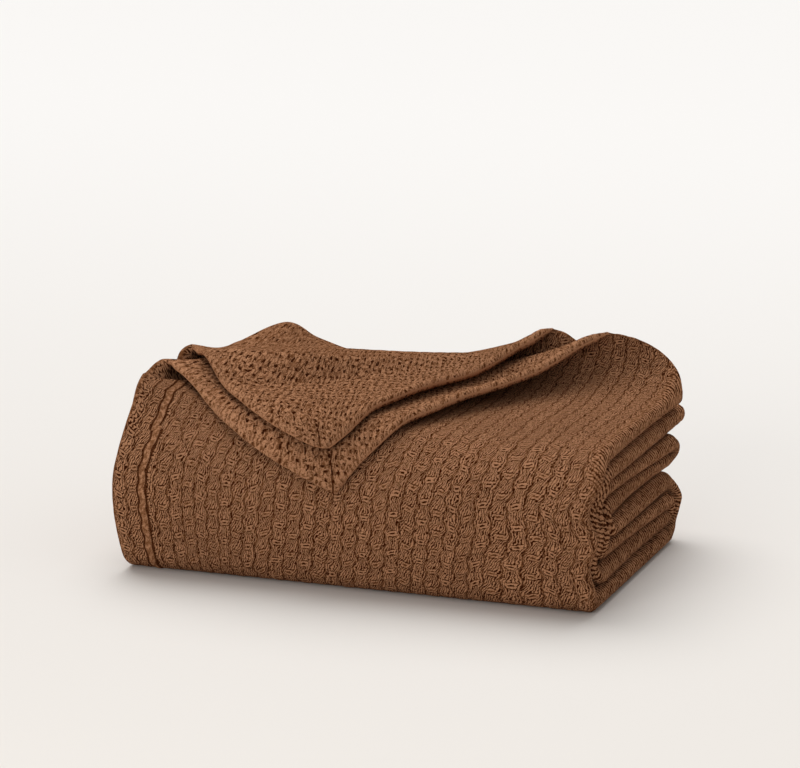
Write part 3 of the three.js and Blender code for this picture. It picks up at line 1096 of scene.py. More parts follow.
@dataclass
class BlanketCloth:
    """The cloth of the blanket as one closed sheet.

    Attributes:
        close, medium: spacing across the cloth where the weave shows best, and where it shows less.
        lying_rows, rising_rows: rows along the top level as far as the sheets rise, and along the rise.
        turned_close, turned_far: spacing down the upper side and the under side of a turned corner.
        fold_steps: steps round an inner fold, and round the outer right fold on the face.
        face_rise_show: how much relief the face of the lower sheet has on the rise.
        reverse_rise_show: how much relief the reverse of the upper sheet has on the rise.
        rise_fade: share of the rise from which the relief fades to a turned edge.
        length_steps: places at which the length of a turned corner is measured.
        last_step: share of the spacing that stays free before a turned edge.
        last_gap: distance from a turned edge within which the hem's close places are left out.
        end_gap: distance before the end hem's top within which no column starts.
        rim_cap: share of the rounding at a rim that is kept, so that the two sides stay apart.
        route: the folded route of the band's middle.
    """

    close: float = WEAVE.rib / 6
    medium: float = WEAVE.rib / 3
    lying_rows: int = 46
    rising_rows: int = 26
    turned_close: float = 3.1
    turned_far: float = 8.0
    fold_steps: tuple[int, int] = (6, 12)
    face_rise_show: float = 0.7
    reverse_rise_show: float = 0.5
    rise_fade: float = 0.85
    length_steps: int = 160
    last_step: float = 0.4
    last_gap: float = 0.2
    end_gap: float = 0.3
    rim_cap: float = 0.97
    route: FoldRoute = field(default_factory=lambda: FoldRoute.of_blanket(SIZES))

    def spacing(self, side: Side, zone: Zone | None, rising: bool = False) -> dict[Part, float]:
        """Spacing on the parts of the band that show.

        Args:
            side: which face of the cloth.
            zone: zone along the route, or None on the top level.
            rising: whether it is the rising and turned stretch of the top level.

        Returns:
            The spacing of each part that has close places.
        """
        if zone is None and rising:
            upper, lower = (self.close, self.medium) if side is Side.FACE else (2 * self.medium, self.close)
            return {Part.SHEET_2: upper, Part.SHEET_1: lower}
        if side is Side.REVERSE or zone is Zone.HIDDEN:
            return {}
        if zone is Zone.BACK:
            return {Part.SHEET_1: self.medium}
        return {Part.SHEET_1: self.close}

    def places(self, side: Side, zone: Zone | None, rising: bool = False) -> Places:
        """Places across the band for one stretch of one side."""
        steps = self.fold_steps if side is Side.FACE else self.fold_steps[:1] * 2
        return Places.of_band(self.spacing(side, zone, rising), steps)

    def route_patch(self, places: Places, first: int, last: int, show: float) -> Patch:
        """Points of the cloth along a stretch of the route.

        Args:
            places: places across the band.
            first: first row of the stretch.
            last: row after its last one.
            show: how much of the relief the stretch has.

        Returns:
            The patch, a row of points for each row of the route.
        """
        y, z, heading, length = (np.array(column)[:, None] for column in zip(*self.route.rows[first:last]))
        offset = places.offset[None, :]
        hidden = self.route.zones[first] is Zone.HIDDEN
        on_fold = places.part == Part.RIGHT_FOLD.value
        woven = np.where(on_fold, 0.0 if hidden else SIZES.offset(LOWER.number), places.offset)[None, :]
        along = length - woven * (heading - math.pi)
        x = np.broadcast_to(places.x, (len(y), len(places.x)))
        point = np.stack([x, y - np.sin(heading) * offset, z + np.cos(heading) * offset], axis=-1)
        across = np.broadcast_to(places.across, along.shape)
        below = self.top_length() - along
        lip = places.part == Part.SHEET_1.value
        point = point + lip[:, None] * LEFT_LIFT.move(across, below)
        skin = np.isin(places.part, (Part.SHEET_1.value, Part.RIGHT_FOLD.value))
        return Patch(
            point=point,
            weave=np.stack([np.where(skin, WEAVE.leaned(across, below), across), along], axis=-1),
            turned=np.zeros(point.shape[:-1] + (2,)),
            hem=np.minimum(across, np.broadcast_to(length, across.shape)),
            show=np.broadcast_to(np.where(skin, show, 0.0), along.shape),
            extra=np.zeros_like(along),
        )

    def top_length(self) -> float:
        """Length of the route where the top level starts, along the outer skin."""
        _, _, heading, length = self.route.rows[-1]
        return length - SIZES.offset(LOWER.number) * (heading - math.pi)

    def sheet_top(self, flap: TurnedSheet, across: Array, offset: Array, share: Array, rising: bool) -> Array:
        """Points of a sheet on the top level before it turns over.

        Args:
            flap: the turned sheet.
            across: places across the sheet.
            offset: distance of those places from the band's middle.
            share: shares of the lying or of the rising stretch, down the rows.
            rising: which of the two stretches.

        Returns:
            The points, a row for each share.
        """
        end_hem = flap.end_hem
        edge = flap.edge_at(across)
        lying = SIZES.level("A") + SIZES.offset(flap.number)
        flat_foot = SIZES.back_end_a - SIZES.flat_foot
        foot_y = edge["y"] - edge["foot"]
        clamped = np.minimum(across, end_hem.across)
        at_hem = 1.0 - smoothstep(across, 0.0, flap.arch.width)
        foot_x = lerp(edge["x"], clamped, at_hem)
        t = share[:, None]
        if rising:
            stand = smoothstep(across / end_hem.across, FORM.stand_from, 1.0)
            back = edge["bulge"] * np.array([[-math.sin(FORM.turn)], [math.cos(FORM.turn)]])
            high_z = lerp(edge["z"], lerp(lying, edge["z"], FORM.hem_stand), stand)
            low_y = lerp(edge["y"] + back[1], foot_y + flap.arch.low[0], at_hem)
            low_z = lying + at_hem * flap.arch.low[1]
            high_y = lerp(edge["y"] + back[1], foot_y + flap.arch.high[0], at_hem)
            high_z = lerp(high_z, edge["z"] + flap.arch.high[1], at_hem)
            low_x = lerp(edge["x"] + back[0], lerp(foot_x, edge["x"], 1 / 3), at_hem)
            high_x = lerp(edge["x"] + back[0], lerp(foot_x, edge["x"], 2 / 3), at_hem)
            weights = (1 - t) ** 3, 3 * t * (1 - t) ** 2, 3 * t * t * (1 - t), t ** 3
            guides = (
                (foot_x, low_x, high_x, edge["x"]),
                (foot_y, low_y, high_y, edge["y"]),
                (lying, low_z, high_z, edge["z"]),
            )
            x, y, z = (sum(weight * guide for weight, guide in zip(weights, row)) for row in guides)
            flat_y = lerp(flat_foot, SIZES.back_end_a, t)
        else:
            x = lerp(clamped, foot_x, t)
            y = lerp(SIZES.top_start, foot_y, t)
            z = lying + np.zeros_like(y)
            flat_y = lerp(SIZES.top_start, flat_foot, t)
        lip = np.zeros(y.shape + (3,))
        if flap is LOWER:
            left = (1.0 - t) if rising else np.ones_like(t)
            lip = LEFT_LIFT.move(across, SIZES.top_start - y) * left[..., None]
        shift = np.maximum(across - end_hem.across, 0.0)
        reach = SIZES.flat_right + SIZES.large_radius - end_hem.across
        rounding = np.clip(shift / reach, 0.0, 1.0)
        if flap.descent is None:
            flatness = 1.0 - np.sqrt(1.0 - rounding * rounding)
        else:
            flatness = smoothstep(shift, 0.0, flap.descent)
        x = lerp(x + shift, across, flatness)
        y = lerp(y, flat_y, flatness)
        z = lerp(z, SIZES.level("A") + offset, flatness)
        return np.stack([x, y, z], axis=-1) + lip

    @staticmethod
    def turned_parts(places: Places) -> tuple[Array, Array]:
        """Which places across the band belong to the upper and to the lower turned sheet."""
        on_fold = (places.part == Part.RIGHT_FOLD.value) & (places.offset > 0)
        return places.part == Part.SHEET_2.value, (places.part == Part.SHEET_1.value) | on_fold

    def top_points(self, places: Places, share: Array, rising: bool) -> Array:
        """Points of the whole band on the top level.

        Args:
            places: places across the band.
            share: shares of the stretch, down the rows.
            rising: whether it is the rising stretch or the lying one.

        Returns:
            The points, a row for each share.
        """
        flat_foot = SIZES.back_end_a - SIZES.flat_foot
        y0, y1 = (flat_foot, SIZES.back_end_a) if rising else (SIZES.top_start, flat_foot)
        y = np.broadcast_to(lerp(y0, y1, share)[:, None], (len(share), len(places.x)))
        x = np.broadcast_to(places.x, y.shape)
        point = np.stack([x, y, np.broadcast_to(SIZES.level("A") + places.offset, y.shape)], axis=-1).copy()
        for flap, chosen in zip((UPPER, LOWER), self.turned_parts(places)):
            point[:, chosen] = self.sheet_top(flap, places.x[chosen], places.offset[chosen], share, rising)
        return point

    def top_patch(self, places: Places, share: Array, rising: bool, show: dict[Part, float]) -> Patch:
        """Points of the whole band on the top level, as far as the turned edges.

        Args:
            places: places across the band.
            share: shares of the stretch, down the rows.
            rising: whether it is the rising stretch or the lying one.
            show: how much of the relief each part has.

        Returns:
            The patch, a row of points for each share.
        """
        rows = len(share)
        start = np.zeros(1)
        if rising:
            lying = self.top_points(places, np.linspace(0.0, 1.0, self.lying_rows + 1), False)
            start = np.linalg.norm(np.diff(lying, axis=0), axis=-1).sum(axis=0)
        point = self.top_points(places, np.append(0.0, share), rising)
        step = np.linalg.norm(np.diff(point, axis=0), axis=-1)
        along = self.top_length() + start + np.cumsum(step, axis=0)
        point = point[1:]
        across = np.broadcast_to(places.across, along.shape)
        on_sheet = np.isin(places.part, (Part.SHEET_1.value, Part.SHEET_2.value))
        end = np.where(on_sheet, places.x, SIZES.folded_width)
        free = np.zeros(len(places.x), bool)
        length = np.zeros(len(places.x))
        for flap, chosen in zip((UPPER, LOWER), self.turned_parts(places)):
            free |= chosen & (end < flap.end_hem.across - SAME)
            length[chosen] = self.corner_lengths(flap, places.x[chosen])[1][:, -1]
        rest = (1.0 - share) if rising else np.ones(rows)
        hem = np.minimum(across, SIZES.flat_foot * rest[:, None] + np.where(free, length, 0.0))
        amount = np.zeros(len(places.x))
        for part, value in show.items():
            amount[places.part == part.value] = value
        fade = np.ones(rows)
        if rising:
            fade = 1.0 - smoothstep(share, self.rise_fade, 1.0)
        return Patch(
            point=point,
            weave=np.stack([across, along], axis=-1),
            turned=np.broadcast_to(np.stack([length, places.x], axis=-1), along.shape + (2,)),
            hem=hem,
            show=amount[None, :] * np.where(free[None, :], fade[:, None], 1.0),
            extra=np.zeros_like(along),
        )

    def corner_lengths(self, flap: TurnedSheet, across: Array) -> tuple[Array, Array]:
        """Lengths down a turned corner.

        Args:
            flap: the turned sheet.
            across: places across it.

        Returns:
            Shares of the way from the upper edge to the end hem, and a row of lengths for each place.
        """
        way = np.linspace(0.0, 1.0, self.length_steps)
        line = FORM.corner_points(flap, np.minimum(across, flap.end_hem.across)[:, None], way[None, :])
        step = np.linalg.norm(np.diff(line, axis=1), axis=-1)
        return way, np.concatenate([np.zeros((len(across), 1)), np.cumsum(step, axis=1)], axis=1)

    def turned_column(
        self, flap: TurnedSheet, across: float, spacing: float, show: float
    ) -> tuple[Patch, Array, float]:
        """Points down one place across a turned corner, from after its upper edge to the end hem.

        Args:
            flap: the turned sheet.
            across: the place across it.
            spacing: distance between the points.
            show: how much of the relief they have.

        Returns:
            The points, their distances from the end hem, and that of the upper edge.
        """
        radius = flap.corner_radius
        inside = max(radius - across, 0.0)
        first = radius - math.sqrt(radius * radius - inside * inside)
        way, lengths = self.corner_lengths(flap, np.array([across]))
        total = lengths[0, -1]
        close = first + np.array([0.0, *FoldRoute.edge_steps])
        inner = np.arange(close[-1] + spacing, max(total - self.last_step * spacing, 0.0), spacing)
        distance = np.concatenate([close[close < total - self.last_gap], inner])[::-1]
        to_corner = np.hypot(np.maximum(radius - distance, 0.0), inside)
        hem = np.where((distance < radius) & (inside > 0.0), radius - to_corner, np.minimum(distance, across))
        from_edge = total - distance
        roll = WEAVE.roll_extra * (1.0 - smoothstep(distance, *WEAVE.roll_reach))
        extra = WEAVE.hem_extra * (1.0 - smoothstep(hem - WEAVE.hem_width, *WEAVE.hem_fade)) + roll
        patch = Patch(
            point=FORM.corner_points(flap, np.array(across), np.interp(from_edge, lengths[0], way)),
            weave=np.zeros((len(distance), 2)),
            turned=np.stack([distance, np.full_like(distance, across)], axis=-1),
            hem=np.maximum(hem, 0.0),
            show=show * smoothstep(from_edge, 0.0, WEAVE.crest_fade),
            extra=extra * smoothstep(from_edge, 0.0, WEAVE.roll_fade),
        )
        return patch, distance, total

    def build_side(self, side: Side, first: int) -> tuple[ClothMesh, dict[Border, Strip]]:
        """Puts one side of the cloth together.

        Args:
            side: which face of the cloth.
            first: number of its first point.

        Returns:
            The side, and the points along its four borders.
        """
        mesh = ClothMesh(first)
        borders: dict[Border, Strip] = {}
        before: Strip | None = None

        def join(numbers: Array, places: Places) -> None:
            """Fills a stretch and joins it to the one before.

            Args:
                numbers: numbers of its points, a row for each place along the cloth.
                places: its places across the band.
            """
            nonlocal before
            mesh.grid(numbers)
            rows = np.arange(len(numbers), dtype=float)
            if before is None:
                borders[Border.INNER_END] = Strip(numbers[0], places.order)
                borders[Border.UPPER_LEFT] = Strip(numbers[:, 0], rows)
                borders[Border.LOWER_LEFT] = Strip(numbers[:, -1], rows)
            else:
                mesh.zip(before, Strip(numbers[0], places.order))
                borders[Border.UPPER_LEFT].lengthen(numbers[:, 0], rows + 1.0)
                borders[Border.LOWER_LEFT].lengthen(numbers[:, -1], rows + 1.0)
            before = Strip(numbers[-1], places.order)

        zones = self.route.zones
        breaks = [0] + [k for k in range(1, len(zones)) if zones[k] is not zones[k - 1]] + [len(zones)]
        for low, high in zip(breaks[:-1], breaks[1:]):
            places = self.places(side, zones[low])
            show = 0.0 if side is Side.REVERSE else 1.0
            join(mesh.add(self.route_patch(places, low, high, show)), places)

        shown = {Part.SHEET_1: 1.0, Part.RIGHT_FOLD: 1.0} if side is Side.FACE else {}
        places = self.places(side, None)
        share = np.arange(1, self.lying_rows + 1) / self.lying_rows
        join(mesh.add(self.top_patch(places, share, False, shown)), places)

        shown = {Part.SHEET_2: 1.0, Part.SHEET_1: self.face_rise_show, Part.RIGHT_FOLD: 1.0}
        if side is Side.REVERSE:
            shown = {Part.SHEET_1: 1.0, Part.SHEET_2: self.reverse_rise_show}
        places = self.places(side, None, rising=True)
        share = np.arange(1, self.rising_rows + 1) / self.rising_rows
        numbers = mesh.add(self.top_patch(places, share, True, shown))
        join(numbers, places)

        self.turn_corners(mesh, side, places, numbers[-1], borders)
        return mesh, borders

    def turn_corners(
        self, mesh: ClothMesh, side: Side, places: Places, crest: Array, borders: dict[Border, Strip]
    ) -> None:
        """Adds the two turned corners behind the last row of the rising stretch.

        Args:
            mesh: the side so far.
            side: which face of the cloth.
            places: places across the band in that row.
            crest: numbers of the row's points.
            borders: the borders so far. The left hems are lengthened, and the end hem is added.
        """
        end = crest.copy()
        corners = ((UPPER, Part.SHEET_2, Border.UPPER_LEFT), (LOWER, Part.SHEET_1, Border.LOWER_LEFT))
        for flap, part, border in corners:
            seen = (flap is UPPER) == (side is Side.FACE)
            spacing = self.turned_close if seen else self.turned_far
            before_end = places.x < flap.end_hem.across - self.end_gap
            chosen = np.flatnonzero((places.part == part.value) & before_end)
            if flap is LOWER:
                chosen = chosen[::-1]
            previous: Strip | None = None
            for k in chosen:
                patch, distance, total = self.turned_column(flap, places.x[k], spacing, 1.0 if seen else 0.0)
                numbers = mesh.add(patch)
                column = Strip(np.append(crest[k], numbers), -np.append(total, distance))
                if len(numbers):
                    end[k] = numbers[-1]
                if previous is None:
                    borders[border].lengthen(numbers, total - distance)
                else:
                    mesh.zip(previous, column, turned=True, flip=flap is UPPER)
                previous = column
            beyond = chosen[-1] + (1 if flap is UPPER else -1)
            corner = Strip(crest[[beyond]], np.array([0.0]))
            mesh.zip(previous, corner, turned=True, flip=flap is UPPER)
        borders[Border.OUTER_END] = Strip(end, places.order)

    def build(self) -> bpy.types.Object:
        """Makes the finished cloth.

        Returns:
            Its object, with its weave's places in a UV map and its hem in an attribute.
        """
        face, face_border = self.build_side(Side.FACE, 0)
        reverse, reverse_border = self.build_side(Side.REVERSE, face.count)
        points, charts, chart_of, hems, faces = [], [], [], [], []
        for side, mesh in ((Side.FACE, face), (Side.REVERSE, reverse)):
            patch = self.joined(mesh)
            triangles = np.concatenate(mesh.triangles) - mesh.first
            turned = np.concatenate(mesh.on_turned)
            normal = self.normals(patch.point, triangles)
            on_corner = np.zeros(len(patch.hem), bool)
            on_corner[triangles[turned].ravel()] = True
            weave = WEAVE.place(patch.weave[:, 0], patch.weave[:, 1])
            corner = WEAVE.place(patch.turned[:, 1], patch.turned[:, 0])
            corner[:, 0] += WEAVE.turned_from
            relief = np.where(on_corner, WEAVE.turned_show * WEAVE.relief(corner),
                              WEAVE.relief(weave) + WEAVE.ridge_at(patch.weave[:, 0]))
            away = self.half_thickness(patch) + relief * patch.show
            points.append(SOFTNESS.apply(patch.point + (side.value * away)[:, None] * normal))
            charts.append(np.stack([weave, corner], axis=1))
            chart_of.append(turned)
            hems.append(patch.hem)
            faces.append(triangles[:, ::-1] + mesh.first if side is Side.FACE else triangles + mesh.first)
        walls = self.walls(face_border, reverse_border)
        vertices = np.concatenate(points)
        chart = np.concatenate(charts)
        triangles = np.concatenate([*faces, walls])
        pick = np.concatenate([*chart_of, np.zeros(len(walls), bool)]).astype(int)
        place = chart[triangles, pick[:, None]]
        return self.make_object(vertices, triangles, place, np.concatenate(hems))

    @staticmethod
    def joined(mesh: ClothMesh) -> Patch:
        """All the patches of a side as one."""
        names = ("point", "weave", "turned", "hem", "show", "extra")
        return Patch(*(np.concatenate([getattr(patch, name) for patch in mesh.patches]) for name in names))

    @staticmethod
    def normals(point: Array, triangles: Array) -> Array:
        """Directions across the cloth at its points.

        Args:
            point: the points.
            triangles: numbers of the three points of each triangle.

        Returns:
            A direction of length 1 for each point, from the triangles round it.
        """
        a, b, c = (point[triangles[:, k]] for k in range(3))
        across = np.cross(b - a, c - a)
        total = np.zeros_like(point)
        for k in range(3):
            np.add.at(total, triangles[:, k], across)
        return total / np.maximum(np.linalg.norm(total, axis=1, keepdims=True), SAME**2)

    def half_thickness(self, patch: Patch) -> Array:
        """Half the thickness of the cloth: fuller in a hem, and round at its rim.

        Args:
            patch: points of one side.

        Returns:
            The distance of the side's surface from the middle of the cloth.
        """
        half = SIZES.half + patch.extra
        inward = np.clip(1.0 - patch.hem / half, 0.0, self.rim_cap)
        return half * np.sqrt(1.0 - inward * inward)

    @staticmethod
    def walls(face: dict[Border, Strip], reverse: dict[Border, Strip]) -> Array:
        """Triangles that close the four edges of the cloth between its two sides.

        Args:
            face: borders of the outer side.
            reverse: borders of the other side.

        Returns:
            The triangles.
        """
        shell = ClothMesh(0)
        for border in Border:
            shell.zip(face[border], reverse[border], flip=border in (Border.UPPER_LEFT, Border.OUTER_END))
        return np.concatenate(shell.triangles)

    @staticmethod
    def make_object(vertices: Array, triangles: Array, place: Array, hem: Array) -> bpy.types.Object:
        """Makes the mesh object in the part's frame.

        Args:
            vertices: points in the fold's frame.
            triangles: numbers of the three points of each triangle.
            place: place in the weave at each corner of each triangle.
            hem: distance of each point from the nearest hem.

        Returns:
            The new object.
        """
        mesh = bpy.data.meshes.new("blanket_cloth")
        moved = (vertices - np.array(SIZES.origin)) * MM
        mesh.vertices.add(len(moved))
        mesh.vertices.foreach_set("co", moved.astype(np.float32).ravel())
        mesh.loops.add(triangles.size)
        mesh.loops.foreach_set("vertex_index", triangles.astype(np.int32).ravel())
        mesh.polygons.add(len(triangles))
        mesh.polygons.foreach_set("loop_start", np.arange(0, triangles.size, 3, dtype=np.int32))
        mesh.polygons.foreach_set("use_smooth", np.ones(len(triangles), bool))
        mesh.update(calc_edges=True)
        weave = mesh.uv_layers.new(name="weave")
        weave.data.foreach_set("uv", place.astype(np.float32).ravel())
        rim = mesh.attributes.new("hem", "FLOAT", "POINT")
        rim.data.foreach_set("value", hem.astype(np.float32))
        mesh.validate()
        return add_object("blanket_cloth", mesh)


class Value:
    """A value in a node tree, which is added, multiplied and shaped like a number."""

    def __init__(self, sketch: "Sketch", socket: bpy.types.NodeSocket) -> None:
        """Keeps the socket that gives the value, and the sketch of its tree."""
        self.sketch = sketch
        self.socket = socket

    def __add__(self, other: "Value | float") -> "Value":
        """The sum of this value and another."""
        return self.sketch.math("ADD", self, other)

    def __sub__(self, other: "Value | float") -> "Value":
        """This value less another."""
        return self.sketch.math("SUBTRACT", self, other)

    def __rsub__(self, other: float) -> "Value":
        """A number less this value."""
        return self.sketch.math("SUBTRACT", other, self)

    def __mul__(self, other: "Value | float") -> "Value":
        """The product of this value and another."""
        return self.sketch.math("MULTIPLY", self, other)

    def __mod__(self, other: float) -> "Value":
        """What is left of this value after whole steps of a number."""
        return self.sketch.math("MODULO", self, other)

    def __abs__(self) -> "Value":
        """This value without its sign."""
        return self.sketch.math("ABSOLUTE", self)

    __radd__ = __add__
    __rmul__ = __mul__

    def whole(self) -> "Value":
        """The whole number below this value."""
        return self.sketch.math("FLOOR", self)

    def part(self) -> "Value":
        """What this value has above that whole number."""
        return self.sketch.math("FRACT", self)

    def wave(self) -> "Value":
        """A wave with a crest at each whole number."""
        return self.sketch.math("COSINE", self * (2 * math.pi))

    def or_more(self, other: "Value | float") -> "Value":
        """The larger of this value and another."""
        return self.sketch.math("MAXIMUM", self, other)

    def rising(self, low: float, high: float) -> "Value":
        """A soft step from 0 where this value is low to 1 where it is high."""
        inputs = dict(enumerate((self, low, high, 0.0, 1.0)))
        return self.sketch.value("ShaderNodeMapRange", inputs, interpolation_type="SMOOTHSTEP")

    def falling(self, low: float, high: float) -> "Value":
        """A soft step from 1 where this value is low to 0 where it is high."""
        return 1.0 - self.rising(low, high)

    def blend(self, start: "Value", end: "Value") -> "Value":
        """A mix that goes from one value to another as this value goes from 0 to 1."""
        return self.sketch.value("ShaderNodeMix", {0: self, 2: start, 3: end}, data_type="FLOAT")

    def noise_with(self, other: "Value") -> "Value":
        """Noise over this value and another as places in two directions."""
        place = self.sketch.value("ShaderNodeCombineXYZ", {0: self, 1: other})
        return self.sketch.noise(place, 1.0, 1.0)

    def split(self) -> list["Value"]:
        """The three values of a vector."""
        made = self.sketch.tree.nodes.new("ShaderNodeSeparateXYZ")
        self.sketch.put(self, made.inputs[0])
        return [Value(self.sketch, socket) for socket in made.outputs]


class Sketch:
    """Short ways to add nodes to one node tree."""

    def __init__(self, tree: bpy.types.NodeTree) -> None:
        """Keeps the tree to add to."""
        self.tree = tree

    def put(self, value: object, socket: bpy.types.NodeSocket) -> None:
        """Gives a socket a link or a constant.

        Args:
            value: a value of this tree, or a constant.
            socket: the input that takes it.
        """
        if isinstance(value, Value):
            self.tree.links.new(value.socket, socket)
        else:
            socket.default_value = value

    def value(
        self, kind: str, inputs: dict[int | str, object], output: int | str = 0, **properties: object
    ) -> Value:
        """Adds a node.

        Args:
            kind: type of the node.
            inputs: what its inputs take, by their number or name.
            output: number or name of the output to use.
            properties: properties to set on it.

        Returns:
            The value of that output.
        """
        made = self.tree.nodes.new(kind)
        for name, item in properties.items():
            setattr(made, name, item)
        for key, item in inputs.items():
            self.put(item, made.inputs[key])
        return Value(self, made.outputs[output])

    def math(self, operation: str, *terms: "Value | float") -> Value:
        """Adds a sum of its own kind with its terms."""
        return self.value("ShaderNodeMath", dict(enumerate(terms)), operation=operation)

    def mix(self, share: Value, start: object, end: object) -> Value:
        """Adds a mix of two colours."""
        return self.value("ShaderNodeMix", {0: share, 6: start, 7: end}, 2, data_type="RGBA")

    def noise(self, place: Value, scale: float, detail: float) -> Value:
        """Adds noise over a place."""
        return self.value("ShaderNodeTexNoise", {"Vector": place, "Scale": scale, "Detail": detail}, "Fac")


@dataclass(frozen=True)
class StitchPlace:
    """Values at one place of the cloth, for the patterns of the stitches to read.

    Attributes:
        ribs: ribs across the cloth, from its left hem.
        blocks: blocks along it, from its inner end.
        hem: distance from the nearest hem, in millimetres.
        point: place in the part's frame, in metres.
        slow: unevenness of whole stitches, round 0.
        fine: unevenness of single yarns, round 0.
        fuzz: unevenness of loose fibres, round 0.
        patchy: 1 in patches where the gaps between the yarns are open, 0 where they are closed.
    """

    ribs: Value
    blocks: Value
    hem: Value
    point: Value
    slow: Value
    fine: Value
    fuzz: Value
    patchy: Value

    def patched(self, closed: float, opened: float) -> Value:
        """A value that goes from one number in closed patches to another in open ones."""
        return self.patchy * (opened - closed) + closed


@dataclass(frozen=True)
class Unevenness:
    """How uneven the yarn is. Sizes are noise scales, for each rib or block.

    Attributes:
        slow: size of what moves whole stitches.
        fine: size of what moves single yarns.
        fuzz: size of the loose fibres.
        patches: size of the patches of open and closed gaps.
        patch_edge: noise values between which a patch fades.
        middle: middle value of noise.
    """

    slow: float = 1.9
    fine: float = 7.0
    fuzz: float = 19.0
    patches: float = 4.6
    patch_edge: Pair = (0.34, 0.62)
    middle: float = 0.5

    def at(self, sketch: Sketch, given: dict[str, Value]) -> StitchPlace:
        """Works out the values that the patterns read.

        Args:
            sketch: the node tree.
            given: the place in the weave, the distance from the hem and the point, by name.

        Returns:
            The values.
        """
        weave = given["Weave"]
        ribs, blocks, _ = weave.split()
        return StitchPlace(
            ribs=ribs,
            blocks=blocks,
            hem=given["Hem"],
            point=given["Place"],
            slow=sketch.noise(weave, self.slow, 1.0) - self.middle,
            fine=sketch.noise(weave, self.fine, 1.0) - self.middle,
            fuzz=sketch.noise(weave, self.fuzz, 2.0) - self.middle,
            patchy=sketch.noise(weave, self.patches, 1.0).rising(*self.patch_edge),
        )


@dataclass(frozen=True)
class FaceStitch:
    """Stitches of the face: ribs of upright yarns, with a pair of bars and a slot between them in each block.

    Places across a rib go from 0 at its middle to 1 at its grooves. Places along it go from 0 at the slot to
    1 at the ends of the bars.

    Attributes:
        strokes: upright yarns side by side in a rib.
        bar_middle, bar_half: middle and half length of the pair of bars, in shares of a block.
        slow_stray, fine_stray: how far whole stitches stray, and yarns across and along the ribs.
        odd_fade: how much fainter the bars of every second rib are.
        groove_across, bar_across, slot_across, rim_across, yarn_across: where these end across a rib.
        waist_along, bar_along, slot_along, rim_along, yarn_along: where these end along it.
        rim_at, yarn_at: place along of the rim of painted shade round the bars, and of each bar's own yarn.
        waist: depth of the groove's painted shade far from the bars, and how much is added at them.
        lean, odd_lean, slow_lean: lean of the yarns in a block, more in every second rib, and unevenly.
        gap_wave: wave values between which the gap between two yarns opens.
        groove_patch, gap_patch: depth of the painted shade in the grooves and the gaps, in closed and in open
            patches.
        crown_gap, crown_fine: depths of gap, and unevenness, between which a yarn's crown shows its painted
            highlight.
        groove_painted_shade, slot_painted_shade, rim_painted_shade, bar_painted_highlight,
        crown_painted_highlight: how much painted shade the grooves, slot and rim get, and how much painted
        highlight the bars and crowns get.
    """

    strokes: float = 6.5
    bar_middle: float = 0.78
    bar_half: float = 0.13
    slow_stray: float = 0.16
    fine_stray: Pair = (0.14, 0.1)
    odd_fade: float = 0.45
    groove_across: Pair = (0.72, 0.98)
    groove_patch: Pair = (0.6, 1.05)
    waist_along: Pair = (0.6, 2.6)
    waist: Pair = (0.4, 0.55)
    bar_along: Pair = (0.9, 1.15)
    bar_across: Pair = (0.32, 0.5)
    slot_along: Pair = (0.12, 0.42)
    slot_across: Pair = (0.12, 0.36)
    rim_at: float = 1.2
    rim_along: Pair = (0.06, 0.3)
    rim_across: Pair = (0.25, 0.6)
    yarn_at: float = 0.68
    yarn_along: Pair = (0.08, 0.38)
    yarn_across: Pair = (0.32, 0.52)
    lean: float = -1.2
    odd_lean: float = -2.6
    slow_lean: float = 3.0
    gap_wave: Pair = (-0.1, 0.8)
    gap_patch: Pair = (0.5, 1.05)
    groove_painted_shade: float = 0.95
    slot_painted_shade: float = 1.15
    rim_painted_shade: float = 0.85
    bar_painted_highlight: float = 0.5
    crown_gap: Pair = (0.0, 0.25)
    crown_fine: Pair = (-0.1, 0.1)
    crown_painted_highlight: float = 0.24

    def dark(self, at: StitchPlace) -> Value:
        """How dark the face is: painted shade in the grooves, slot, rim and gaps between the yarns, less
        painted highlight on the bars and crowns.

        Args:
            at: values at the place.

        Returns:
            0 on plain yarn, 1 deep in the painted shade between the stitches.
        """
        stray = at.slow * self.slow_stray
        placed = stray + (at.fine * self.fine_stray[0] + at.ribs)
        over = placed.part()
        across = abs(over * 2.0 - 1.0)
        odd = abs(placed.whole()) % 2.0
        drop = stray + (at.fine * self.fine_stray[1] + (odd * WEAVE.stagger + at.blocks))
        along = abs(drop.part() * (1 / self.bar_half) - self.bar_middle / self.bar_half)

        clear = 1.0 - odd * self.odd_fade
        on_bars = along.falling(*self.bar_along) * across.falling(*self.bar_across) * clear
        slot = along.falling(*self.slot_along) * across.falling(*self.slot_across) * clear
        rim = abs(along - self.rim_at).falling(*self.rim_along) * across.falling(*self.rim_across)
        bars = abs(along - self.yarn_at).falling(*self.yarn_along) * across.falling(*self.yarn_across) * clear
        waist = along.falling(*self.waist_along) * self.waist[1] + self.waist[0]
        groove = across.rising(*self.groove_across) * waist * at.patched(*self.groove_patch)

        lean = odd * self.odd_lean + (at.slow * self.slow_lean + self.lean)
        turns = at.fine + (over * self.strokes + lean * (drop - self.bar_middle).part())
        gap = turns.wave().rising(*self.gap_wave) * (1.0 - on_bars) * at.patched(*self.gap_patch)

        # Painted shade: the grooves, the slot, the rim round the bars and the gaps between the yarns are
        # darkened where shade falls between the stitches.
        dark = (groove * self.groove_painted_shade).or_more(slot * self.slot_painted_shade)
        dark = dark.or_more(rim * self.rim_painted_shade).or_more(gap)
        crown = gap.falling(*self.crown_gap) * at.fine.rising(*self.crown_fine)
        # Painted highlight: the bars and the crowns of the yarns are made lighter.
        return dark - bars * self.bar_painted_highlight - crown * self.crown_painted_highlight


